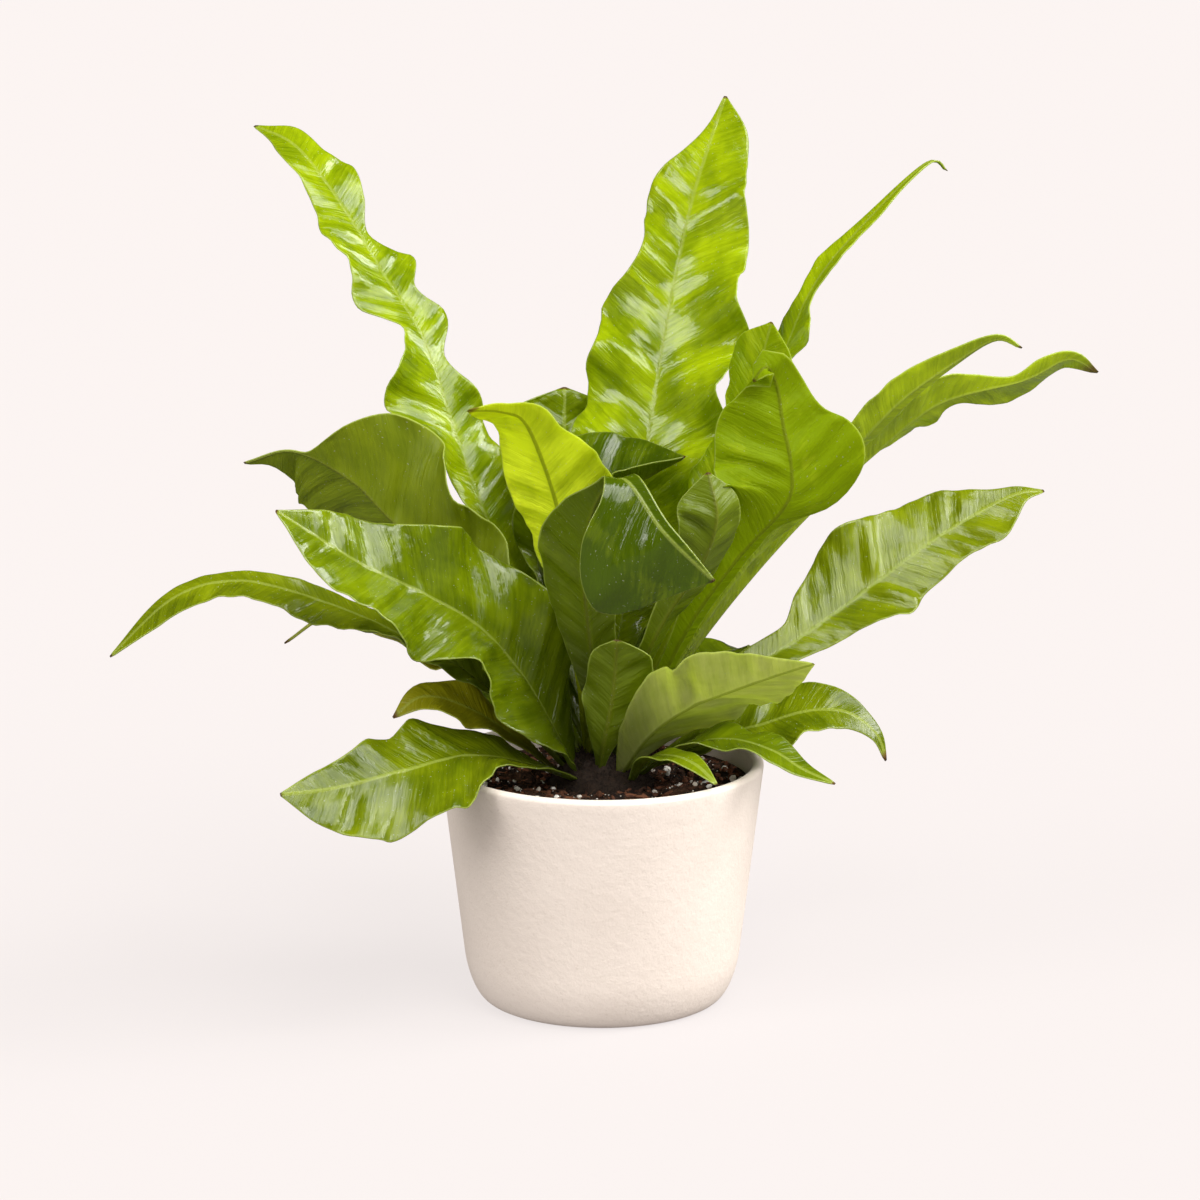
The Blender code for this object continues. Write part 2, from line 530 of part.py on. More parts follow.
def frond_material(name, looks):
    if name in OLD_FRONDS:
        return looks["old"]
    if name in PALE_FRONDS:
        return looks["pale"]
    if name in BRIGHT_FRONDS:
        return looks["bright"]
    return looks["green"]


def main():
    clear_scene()
    collection = bpy.context.scene.collection
    make_pot(material("pot_matte", (0.80, 0.75, 0.68), 0.7), collection)
    make_soil(material("soil_dark", (0.03, 0.018, 0.012), 0.95), collection)
    make_crown(material("rootstock", (0.09, 0.05, 0.025), 0.9), collection)
    looks = {
        "green": material("frond_green", (0.10, 0.22, 0.012), 0.35),
        "bright": material("frond_bright", (0.24, 0.36, 0.025), 0.35),
        "pale": material("frond_pale", (0.17, 0.26, 0.05), 0.5),
        "old": material("frond_old", (0.13, 0.13, 0.02), 0.45),
    }
    for name, frond in FRONDS.items():
        make_frond(name, frond, frond_material(name, looks), collection)


main()
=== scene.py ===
import math

import bpy
import numpy as np
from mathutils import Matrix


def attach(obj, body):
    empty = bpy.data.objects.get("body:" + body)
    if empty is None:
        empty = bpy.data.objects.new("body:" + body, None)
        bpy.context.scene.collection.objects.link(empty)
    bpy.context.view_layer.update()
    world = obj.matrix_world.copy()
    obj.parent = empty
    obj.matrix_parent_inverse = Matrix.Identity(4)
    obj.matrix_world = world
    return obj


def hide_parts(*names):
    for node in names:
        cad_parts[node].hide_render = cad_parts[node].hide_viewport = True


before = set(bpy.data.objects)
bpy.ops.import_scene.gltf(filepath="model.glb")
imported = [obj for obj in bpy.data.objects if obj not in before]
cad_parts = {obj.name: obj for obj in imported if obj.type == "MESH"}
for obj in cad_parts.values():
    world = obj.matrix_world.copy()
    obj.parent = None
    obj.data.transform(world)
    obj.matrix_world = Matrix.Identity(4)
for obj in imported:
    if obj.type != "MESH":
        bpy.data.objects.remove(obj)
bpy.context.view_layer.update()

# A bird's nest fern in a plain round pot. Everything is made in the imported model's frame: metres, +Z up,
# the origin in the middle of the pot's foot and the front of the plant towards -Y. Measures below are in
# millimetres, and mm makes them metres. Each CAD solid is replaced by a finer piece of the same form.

mm = 0.001


# Meshes: a piece is a grid of points worked out as whole arrays, in millimetres

def addObject(name, data):
    made = bpy.data.objects.new(name, data)
    bpy.context.scene.collection.objects.link(made)
    return made


def addMesh(name, points, faces, look):
    mesh = bpy.data.meshes.new(name)
    mesh.from_pydata(points.tolist(), [], faces)
    mesh.materials.append(look)
    return addObject(name, mesh)


def addPiece(name, points, faces, look, node=None, smooth=True):
    piece = addMesh(name, points * mm, faces, look)
    if smooth:
        piece.data.shade_smooth()
    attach(piece, "root")
    if node:
        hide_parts(node)
    return piece


def addAttribute(mesh, name, values, domain="POINT"):
    values = np.asarray(values, np.float32)
    kind, field = ("FLOAT", "value") if values.ndim == 1 else ("FLOAT_VECTOR", "vector")
    mesh.attributes.new(name, kind, domain).data.foreach_set(field, values.ravel())


# Ring k, step a is (radius[k] cos a, radius[k] sin a, height[k]): quads between the rings, which wrap round,
# and a fan of triangles to a point on the axis at each end.
def turnedFaces(rings, steps):
    ring, step = np.meshgrid(np.arange(rings - 1), np.arange(steps), indexing="ij")
    here, after = ring * steps + step, ring * steps + (step + 1) % steps
    quads = np.stack([here, here + steps, after + steps, after], -1).reshape(-1, 4)
    step = np.arange(steps)
    after, last = (step + 1) % steps, (rings - 1) * steps
    first, final = rings * steps, rings * steps + 1
    start = np.stack([np.full(steps, first), step, after], -1)
    end = np.stack([last + step, np.full(steps, final), last + after], -1)
    return quads.tolist() + start.tolist() + end.tolist()


# x and y of rings about the axis, each of evenly spaced points.
def turnedRings(radius, steps):
    angle = 2 * math.pi * np.arange(steps) / steps
    return radius[:, None] * np.cos(angle), radius[:, None] * np.sin(angle)


# A turned piece from its rings, closed by points on the axis at the two given heights.
def addTurned(name, x, y, z, ends, look, node):
    points = np.stack([x, y, z], -1).reshape(-1, 3)
    points = np.vstack([points, [(0, 0, height) for height in ends]])
    return addPiece(name, points, turnedFaces(*x.shape), look, node)


def unit(vectors):
    return vectors / np.linalg.norm(vectors, axis=-1)[..., None]


# The faces of copies of one shape, which follow each other in one mesh.
def copiedFaces(faces, points, count):
    return [[corner + k * points for corner in face] for k in range(count) for face in faces]


# One 3 by 3 matrix for each entry of the arrays that fill its rows.
def matrices(*rows):
    return np.stack([np.stack(row, -1) for row in rows], 1)


# Sum of four seeded sines whose lengths lie round the given one, between -1 and 1.
def wobble(values, length, seed):
    draw = np.random.default_rng(seed)
    total = np.zeros_like(values, dtype=float)
    for stretch in (1.0, 0.73, 1.37, 0.55):
        total += np.sin(2 * math.pi * values / (length * stretch) + draw.uniform(0, 2 * math.pi))
    return total / 4


# Random heights on a square lattice of the given cell, joined smoothly: s = 3t^2 - 2t^3 on both axes.
def bumps(x, y, cell, seed):
    heights = np.random.default_rng(seed).uniform(-1, 1, (256, 256))
    column, row = np.floor(x / cell).astype(int), np.floor(y / cell).astype(int)
    u, v = x / cell - column, y / cell - row
    u, v = u * u * (3 - 2 * u), v * v * (3 - 2 * v)

    def corner(right, up):
        return heights[(column + right) % 256, (row + up) % 256]

    low = corner(0, 0) * (1 - u) + corner(1, 0) * u
    high = corner(0, 1) * (1 - u) + corner(1, 1) * u
    return low * (1 - v) + high * v


# Material nodes

def feed(tree, socket, value):
    if isinstance(value, bpy.types.NodeSocket):
        tree.links.new(value, socket)
    elif isinstance(value, tuple) and len(value) == 3 and socket.type == "RGBA":
        socket.default_value = (*value, 1)
    else:
        socket.default_value = value


# Sockets by name, with _ for a space.
def fill(tree, sockets, **values):
    for label, value in values.items():
        feed(tree, sockets[label.replace("_", " ")], value)


def calculate(tree, operation, *values, clamp=False):
    node = tree.nodes.new("ShaderNodeMath")
    node.operation = operation
    node.use_clamp = clamp
    for socket, value in zip(node.inputs, values):
        feed(tree, socket, value)
    return node.outputs[0]


def times(tree, first, second):
    return calculate(tree, "MULTIPLY", first, second)


def timesPlus(tree, first, second, more):
    return calculate(tree, "MULTIPLY_ADD", first, second, more)


def parts(tree, vector):
    node = tree.nodes.new("ShaderNodeSeparateXYZ")
    feed(tree, node.inputs[0], vector)
    return node.outputs


def joined(tree, x, y, z):
    node = tree.nodes.new("ShaderNodeCombineXYZ")
    for socket, value in zip(node.inputs, (x, y, z)):
        feed(tree, socket, value)
    return node.outputs[0]


def noise(tree, vector, scale=1.0, detail=2.0, roughness=0.5):
    node = tree.nodes.new("ShaderNodeTexNoise")
    fill(tree, node.inputs, Vector=vector, Scale=scale, Detail=detail, Roughness=roughness)
    return node.outputs[0]


def ramp(tree, value, low, high, start=0.0, end=1.0):
    node = tree.nodes.new("ShaderNodeMapRange")
    node.interpolation_type = "SMOOTHSTEP"
    fill(tree, node.inputs, Value=value, From_Min=low, From_Max=high, To_Min=start, To_Max=end)
    return node.outputs[0]


def blendColour(tree, share, first, second):
    node = tree.nodes.new("ShaderNodeMix")
    node.data_type = "RGBA"
    for index, value in ((0, share), (6, first), (7, second)):
        feed(tree, node.inputs[index], value)
    return node.outputs[2]


def place(tree, name):
    node = tree.nodes.new("ShaderNodeAttribute")
    node.attribute_name = name
    return node


def objectPlace(tree):
    return tree.nodes.new("ShaderNodeTexCoord").outputs["Object"]


def relief(tree, height, distance, strength=1.0):
    node = tree.nodes.new("ShaderNodeBump")
    fill(tree, node.inputs, Height=height, Distance=distance, Strength=strength)
    return node.outputs[0]


def newMaterial(name, **values):
    made = bpy.data.materials.new(name)
    made.use_nodes = True
    shader = made.node_tree.nodes["Principled BSDF"]
    fill(made.node_tree, shader.inputs, **values)
    return made, made.node_tree, shader


def newGroup(name, inputs, outputs):
    group = bpy.data.node_groups.new(name, "ShaderNodeTree")
    for way, sockets in (("INPUT", inputs), ("OUTPUT", outputs)):
        for label, kind in sockets.items():
            group.interface.new_socket(name=label, in_out=way, socket_type="NodeSocket" + kind)
    return group, group.nodes.new("NodeGroupInput").outputs, group.nodes.new("NodeGroupOutput").inputs


def useGroup(tree, group, **values):
    node = tree.nodes.new("ShaderNodeGroup")
    node.node_tree = group
    fill(tree, node.inputs, **values)
    return node.outputs


# Grain for the matte things: fine points and broad clouds on Object coordinates.
def makeGrainGroup():
    group, given, result = newGroup(
        "matteGrain", dict(Place="Vector", Fine="Float", Broad="Float"), dict(Points="Float", Clouds="Float"))
    fill(group, result, Points=noise(group, given["Place"], given["Fine"], 3.0, 0.6),
         Clouds=noise(group, given["Place"], given["Broad"], 3.0, 0.5))
    return group


grainGroup = makeGrainGroup()


def grainyMaterial(name, roughness, specular, fine, broad):
    look, tree, shader = newMaterial(name, Roughness=roughness, Specular_IOR_Level=specular)
    return look, tree, shader, useGroup(tree, grainGroup, Place=objectPlace(tree), Fine=fine, Broad=broad)


# The pot: a thin wall that leans out evenly above a large round at the foot, with a soft lip

pot = dict(
    height=112.8,
    rimRadius=75.0,
    wallLean=0.12,  # out for each millimetre up
    wall=4.4,
    footRadius=52.5,
    footRound=22.0,
    floor=6.0,
    steps=192,
    roundPower=0.42,  # how full the round at the foot is
    colour=(0.84, 0.748, 0.672),
    shade=(0.81, 0.718, 0.643),
    speck=(0.52, 0.43, 0.34),
    speckShare=0.15,
    roughness=0.62,
    pitDepth=0.0004,
)


# Outer radius: an even lean, and at the foot a round that meets it smoothly:
# foot + (leaned - foot) (1 - drop^2)^power, with drop from 0 at the round's top to 1 at the floor.
def wallRadius(height):
    height = np.asarray(height, float)
    leaned = pot["rimRadius"] - pot["wallLean"] * (pot["height"] - height)
    drop = np.clip(1 - height / pot["footRound"], 0, 1)
    return pot["footRadius"] + (leaned - pot["footRadius"]) * (1 - drop * drop) ** pot["roundPower"]


def innerRadius(height):
    return wallRadius(height - pot["floor"]) - pot["wall"]


# Heights up the wall, close together where the foot turns: footRound (1 - sin s) and then even.
def wallHeights():
    turn = np.linspace(0.97, 0, 14) * math.pi / 2
    return np.concatenate([pot["footRound"] * (1 - np.sin(turn)), np.linspace(26, 108, 22)])


def makePot():
    heights = wallHeights()
    lipHeight = pot["height"] - pot["wall"] / 2
    lipMiddle = (wallRadius(lipHeight) + innerRadius(lipHeight)) / 2
    lipHalf = (wallRadius(lipHeight) - innerRadius(lipHeight)) / 2
    turn = np.linspace(math.pi, 0, 17)
    inner = heights[heights + pot["floor"] < lipHeight - 1] + pot["floor"]
    floorRadii = np.linspace(6, pot["footRadius"] - pot["wall"] - 0.3, 6)
    radius = np.concatenate([
        floorRadii, innerRadius(inner), lipMiddle + lipHalf * np.cos(turn), wallRadius(heights[::-1]),
        [pot["footRadius"] - 0.6, 30, 8],
    ])
    height = np.concatenate([
        np.full(6, pot["floor"]), inner, lipHeight + pot["wall"] / 2 * np.sin(turn), heights[::-1],
        [0, 0, 0],
    ])
    x, y = turnedRings(radius, pot["steps"])
    addTurned("potWall", x, y, height[:, None] + 0 * x, (pot["floor"], 0), makePotLook(), "pot")


# Cast, matt and faintly grainy: clouds of a slightly darker tone, specks and fine pits.
def makePotLook():
    look, tree, shader, grain = grainyMaterial("castPot", pot["roughness"], 0.35, 900.0, 28.0)
    where = objectPlace(tree)
    clouds = ramp(tree, grain["Clouds"], 0.35, 0.7)
    colour = blendColour(tree, clouds, pot["colour"], pot["shade"])
    specks = ramp(tree, noise(tree, where, 800.0, 1.0), 0.58, 0.74)
    colour = blendColour(tree, times(tree, specks, pot["speckShare"]), colour, pot["speck"])
    rough = ramp(tree, grain["Points"], 0.3, 0.7, pot["roughness"] - 0.06, pot["roughness"] + 0.1)
    pits = timesPlus(tree, grain["Points"], 0.5, noise(tree, where, 260.0, 2.0))
    bump = relief(tree, pits, pot["pitDepth"], 0.65)
    fill(tree, shader.inputs, Base_Color=colour, Roughness=rough, Normal=bump)
    return look


makePot()
print("pot made")


# The soil: crumbly potting mix up to below the lip, with perlite, bark and fibres on it

soil = dict(
    level=102.0,
    lumps=1.2,
    crumbs=1.1,
    steps=300,
    rings=84,
    clear=0.3,
    seed=7,
    barkCount=520, perliteCount=150, dustCount=420, fibreCount=420,
    fibreReach=(26, 66, 68),  # radii from which and to which they start, and that they end inside
    dark=(0.010, 0.005, 0.003),
    brown=(0.05, 0.022, 0.010),
    light=(0.13, 0.062, 0.03),
)

crown = dict(top=120.5, curve=0.029, radius=24.5, foot=90.0, steps=160, rings=46, hairCount=900)


# Broad lumps as a sum of sines, length / 31 high, which fall to nothing in the last 5 mm by the crown and by
# the pot, with crumbs of 6, 3 and 1.5 mm on them, which do so in the last 1.5 mm by the pot.
def soilHeight(x, y):
    draw = np.random.default_rng(soil["seed"])
    broad = np.zeros_like(x)
    for length in (31, 23, 17, 13, 10, 8):
        way, start = draw.uniform(0, 2 * math.pi, 2)
        broad += np.sin(2 * math.pi * (x * math.cos(way) + y * math.sin(way)) / length + start) * length / 31
    radius = np.hypot(x, y)
    inner, outer = crown["radius"] + soil["clear"], innerRadius(soil["level"]) - soil["clear"]
    edge = np.clip((radius - inner) / 5, 0, 1) * np.clip((outer - radius) / 5, 0, 1)
    fine = bumps(x, y, 6, 1) + 0.7 * bumps(x, y, 3.1, 2) + 0.45 * bumps(x, y, 1.5, 3)
    rim = np.clip((outer - radius) / 1.5, 0, 1)
    return soil["level"] + soil["lumps"] * broad * edge + soil["crumbs"] * (np.abs(fine) - 0.45) * rim


def makeSoil(look):
    inner, outer = crown["radius"] - 1, innerRadius(soil["level"]) - soil["clear"]
    top = np.linspace(inner, outer, soil["rings"])
    below = np.concatenate([[76, 50], pot["floor"] + wallHeights()[:14][::-1]])
    radius = np.concatenate([[inner], top, innerRadius(below) - soil["clear"]])
    height = np.concatenate([[crown["foot"]], 0 * top, below + soil["clear"]])
    x, y = turnedRings(radius, soil["steps"])
    z = height[:, None] + 0 * x
    z[1:len(top) + 1] = soilHeight(x, y)[1:len(top) + 1]
    addTurned("soilBed", x, y, z, (crown["foot"], pot["floor"] + soil["clear"]), look, "soil")


# A rough ball of 26 points: rings at -60, -20, 20 and 60 degrees of 6 points, and two poles.
def ballShape():
    lift = np.radians([60, 20, -20, -60])[:, None]
    angle = 2 * math.pi * (np.arange(6)[None, :] + 0.5 * (np.arange(4)[:, None] % 2)) / 6
    points = [np.cos(lift) * np.cos(angle), np.cos(lift) * np.sin(angle), np.sin(lift) + 0 * angle]
    return np.vstack([np.stack(points, -1).reshape(-1, 3), [(0, 0, 1), (0, 0, -1)]]), turnedFaces(4, 6)


# Random turns as unit quaternions made into matrices.
def randomTurns(draw, count):
    w, x, y, z = draw.normal(size=(4, count))
    size = np.sqrt(w * w + x * x + y * y + z * z)
    w, x, y, z = w / size, x / size, y / size, z / size
    return matrices(
        (1 - 2 * (y * y + z * z), 2 * (x * y - z * w), 2 * (x * z + y * w)),
        (2 * (x * y + z * w), 1 - 2 * (x * x + z * z), 2 * (y * z - x * w)),
        (2 * (x * z - y * w), 2 * (y * z + x * w), 1 - 2 * (x * x + y * y)))


# Copies of the rough ball: each point is pushed in or out at random, stretched, turned and set on the soil.
def scatter(name, count, seed, low, high, rough, sink, look, flat=None):
    draw = np.random.default_rng(seed)
    shape, faces = ballShape()
    inner, outer = crown["radius"] + 0.5, innerRadius(soil["level"]) - 2.4
    radius = np.sqrt(draw.uniform(inner ** 2, outer ** 2, count))
    angle = draw.uniform(0, 2 * math.pi, count)
    x, y = radius * np.cos(angle), radius * np.sin(angle)
    size = draw.uniform(low, high, (count, 3)) * draw.uniform(0.6, 1.1, (count, 1))
    form = shape[None] * (1 + rough * draw.uniform(-1, 1, (count, len(shape), 1)))
    form = form * size[:, None]
    turns = randomTurns(draw, count)
    if flat is not None:  # lie down: turned about the vertical, then tilted a little
        spin = draw.uniform(0, 2 * math.pi, count)
        tilt = draw.normal(0, flat, count)
        zero, one = np.zeros(count), np.ones(count)
        cos, sin = np.cos(spin), np.sin(spin)
        about = matrices((cos, -sin, zero), (sin, cos, zero), (zero, zero, one))
        cos, sin = np.cos(tilt), np.sin(tilt)
        lean = matrices((one, zero, zero), (zero, cos, -sin), (zero, sin, cos))
        turns = about @ lean
    form = np.einsum("nij,nkj->nki", turns, form)
    lift = soilHeight(x, y) + size.min(1) * (1 - sink)
    form = form + np.stack([x, y, lift], -1)[:, None]
    faces = copiedFaces(faces, len(shape), count)
    made = addPiece(name, form.reshape(-1, 3), faces, look, None, smooth=False)
    addAttribute(made.data, "pieceTone", np.repeat(draw.uniform(0, 1, count), len(shape)))


# Threads: a bent path of 7 points, each with 3 points round it, and a width that falls to the far end as
# sqrt(1.05 - t). Its sway is bend t^2 with a small sine on it, as shares of its length.
def threads(name, starts, directions, lengths, widths, bends, look, seed):
    draw = np.random.default_rng(seed)
    count, steps = len(starts), 7
    t = np.linspace(0, 1, steps)
    directions = unit(directions)
    side = unit(np.cross(directions, draw.normal(size=(count, 3))))
    other = np.cross(directions, side)
    reach = lengths[:, None] * t
    sway = bends[:, None] * lengths[:, None] * t ** 2 + 0.05 * lengths[:, None] * np.sin(5 * t)
    path = starts[:, None] + directions[:, None] * reach[..., None] + side[:, None] * sway[..., None]
    width = widths[:, None] * np.sqrt(np.clip(1.05 - t, 0, 1)) / 2
    turn = 2 * math.pi * np.arange(3) / 3
    ring = side[:, None, None] * np.cos(turn)[None, None, :, None]
    ring = ring + other[:, None, None] * np.sin(turn)[None, None, :, None]
    points = path[:, :, None] + ring * width[:, :, None, None]
    ends = np.stack([path[:, 0], path[:, -1]], 1)
    each = steps * 3 + 2
    points = np.concatenate([points.reshape(count, -1, 3), ends], 1).reshape(-1, 3)
    faces = [face[::-1] for face in turnedFaces(steps, 3)]
    made = addPiece(name, points, copiedFaces(faces, each, count), look, None)
    addAttribute(made.data, "pieceTone", np.repeat(draw.uniform(0, 1, count), each))


def makeSoilFibres(look):
    draw = np.random.default_rng(31)
    count = soil["fibreCount"]
    inner, outer, furthest = soil["fibreReach"]
    radius = np.sqrt(draw.uniform(inner ** 2, outer ** 2, count))
    angle = draw.uniform(0, 2 * math.pi, count)
    x, y = radius * np.cos(angle), radius * np.sin(angle)
    starts = np.stack([x, y, soilHeight(x, y) + 0.3], -1)
    way = draw.uniform(0, 2 * math.pi, count)
    directions = np.stack([np.cos(way), np.sin(way), draw.normal(0.05, 0.16, count)], -1)
    lengths = draw.uniform(3, 11, count)
    pick = np.hypot(*(starts + directions * lengths[:, None])[:, :2].T) < furthest
    threads("soilFibres", starts[pick], directions[pick], lengths[pick],
            draw.uniform(0.15, 0.45, count)[pick], draw.normal(0, 0.3, count)[pick], look, 32)


def makeSoilLook():
    look, tree, shader, grain = grainyMaterial("darkSoil", 0.9, 0.25, 700.0, 150.0)
    colour = blendColour(tree, ramp(tree, grain["Clouds"], 0.38, 0.68), soil["dark"], soil["brown"])
    colour = blendColour(tree, ramp(tree, grain["Points"], 0.56, 0.72), colour, soil["light"])
    fill(tree, shader.inputs, Base_Color=colour, Normal=relief(tree, grain["Points"], 0.0012, 0.9))
    return look


def makeCrumbLook(name, dark, light, roughness, depth):
    look, tree, shader, grain = grainyMaterial(name, roughness, 0.3, 1100.0, 420.0)
    tone = place(tree, "pieceTone").outputs["Fac"]
    mixed = timesPlus(tree, grain["Clouds"], 0.5, times(tree, tone, 0.75))
    colour = blendColour(tree, ramp(tree, mixed, 0.2, 1.0), dark, light)
    fill(tree, shader.inputs, Base_Color=colour, Normal=relief(tree, grain["Points"], depth, 0.8))
    return look


soilLook = makeSoilLook()
barkLook = makeCrumbLook("barkChips", (0.018, 0.007, 0.004), (0.20, 0.075, 0.035), 0.8, 0.0005)
perliteLook = makeCrumbLook("perlite", (0.62, 0.55, 0.46), (0.93, 0.90, 0.85), 0.75, 0.0003)
fibreLook = makeCrumbLook("rootFibre", (0.03, 0.012, 0.006), (0.17, 0.08, 0.035), 0.85, 0.0002)

makeSoil(soilLook)
scatter("soilBark", soil["barkCount"], 11, (1.4, 0.7, 0.35), (4.2, 1.7, 0.9), 0.22, 0.45, barkLook, 0.3)
scatter("soilCrumbs", soil["dustCount"], 12, 0.5, 1.7, 0.3, 0.5, barkLook)
scatter("soilPerlite", soil["perliteCount"], 13, 0.8, 2.0, 0.2, 0.35, perliteLook)
scatter("soilPerliteDust", soil["dustCount"], 14, 0.18, 0.55, 0.2, 0.2, perliteLook)
makeSoilFibres(fibreLook)
print("soil made")


# The crown: a low dome of matted brown scales, with hairs standing out of it

# Height of the dome: top - 1 - curve r^2, with scales as bumps of 4, 2 and 1 mm, which fade at its edge.
def crownHeight(x, y):
    radius = np.hypot(x, y)
    mat = bumps(x, y, 4.2, 5) + 0.6 * bumps(x, y, 2.1, 6) + 0.4 * bumps(x, y, 1.1, 8)
    fade = np.clip((crown["radius"] - radius) / 3, 0, 1)
    return crown["top"] - 1 - crown["curve"] * radius ** 2 + 1.1 * mat * fade


def makeCrown():
    look = makeCrumbLook("crownScales", (0.006, 0.004, 0.003), (0.040, 0.022, 0.012), 0.9, 0.0009)
    radius = np.linspace(0.4, crown["radius"], crown["rings"])
    x, y = turnedRings(np.append(radius, [crown["radius"], crown["radius"]]), crown["steps"])
    z = crownHeight(x, y)
    z[-2:] = np.array([[96], [crown["foot"]]])
    ends = (crownHeight(np.zeros(1), np.zeros(1))[0], crown["foot"])
    made = addTurned("crownMound", x, y, z, ends, look, "crown")
    addAttribute(made.data, "pieceTone", np.full(x.size + 2, 0.4))
    draw = np.random.default_rng(41)
    count = crown["hairCount"]
    reach = crown["radius"] * np.sqrt(draw.uniform(0, 1, count))
    way = draw.uniform(0, 2 * math.pi, count)
    x, y = reach * np.cos(way), reach * np.sin(way)
    starts = np.stack([x, y, crownHeight(x, y) - 0.3], -1)
    directions = np.stack([x, y, np.full(count, 20.0)], -1) + draw.normal(0, 9, (count, 3))
    directions[:, 2] = np.abs(directions[:, 2])
    threads("crownHairs", starts, directions, draw.uniform(1.5, 5, count), draw.uniform(0.15, 0.4, count),
            draw.normal(0, 0.35, count), look, 42)


makeCrown()
print("crown made")


# The fronds. Each leans towards its heading, in degrees from +X. Its path gives points along the midrib: how
# far out that way, how far to the left of it where that isn't 0, and how high. Its widths are from the midrib
# to an edge, at even distances between the foot and the tip. Twist turns the blade about its midrib and fold
# lifts its halves, both in degrees along the path. Its waves are the swing in degrees and their count, and
# then, where these aren't the usual ones, where they start and how far the right edge lags, as shares of a
# wave. Scallop swells the edge with the waves, lobe pulls the left half back over the stalk, and foot is half
# the stalk's width. Look names the leaf material. Tone makes it lighter, and darker below 0: besides the
# frond's own colour it holds painted light and shade, low for fronds that sit in shade in the middle and high
# for lit ones. Dry is the share of the length that has browned at the tip, and backFirst turns the paler
# side up. What a frond doesn't name is as usual.

usual = dict(look="green", tone=0.0, dry=0.02, backFirst=False, waves=(20, 3), scallop=0.08, lobe=0, foot=2.4,
             twist=[0, 0], fold=[25, 15, 10])
usualStart, usualLag = 0.1, 0.3

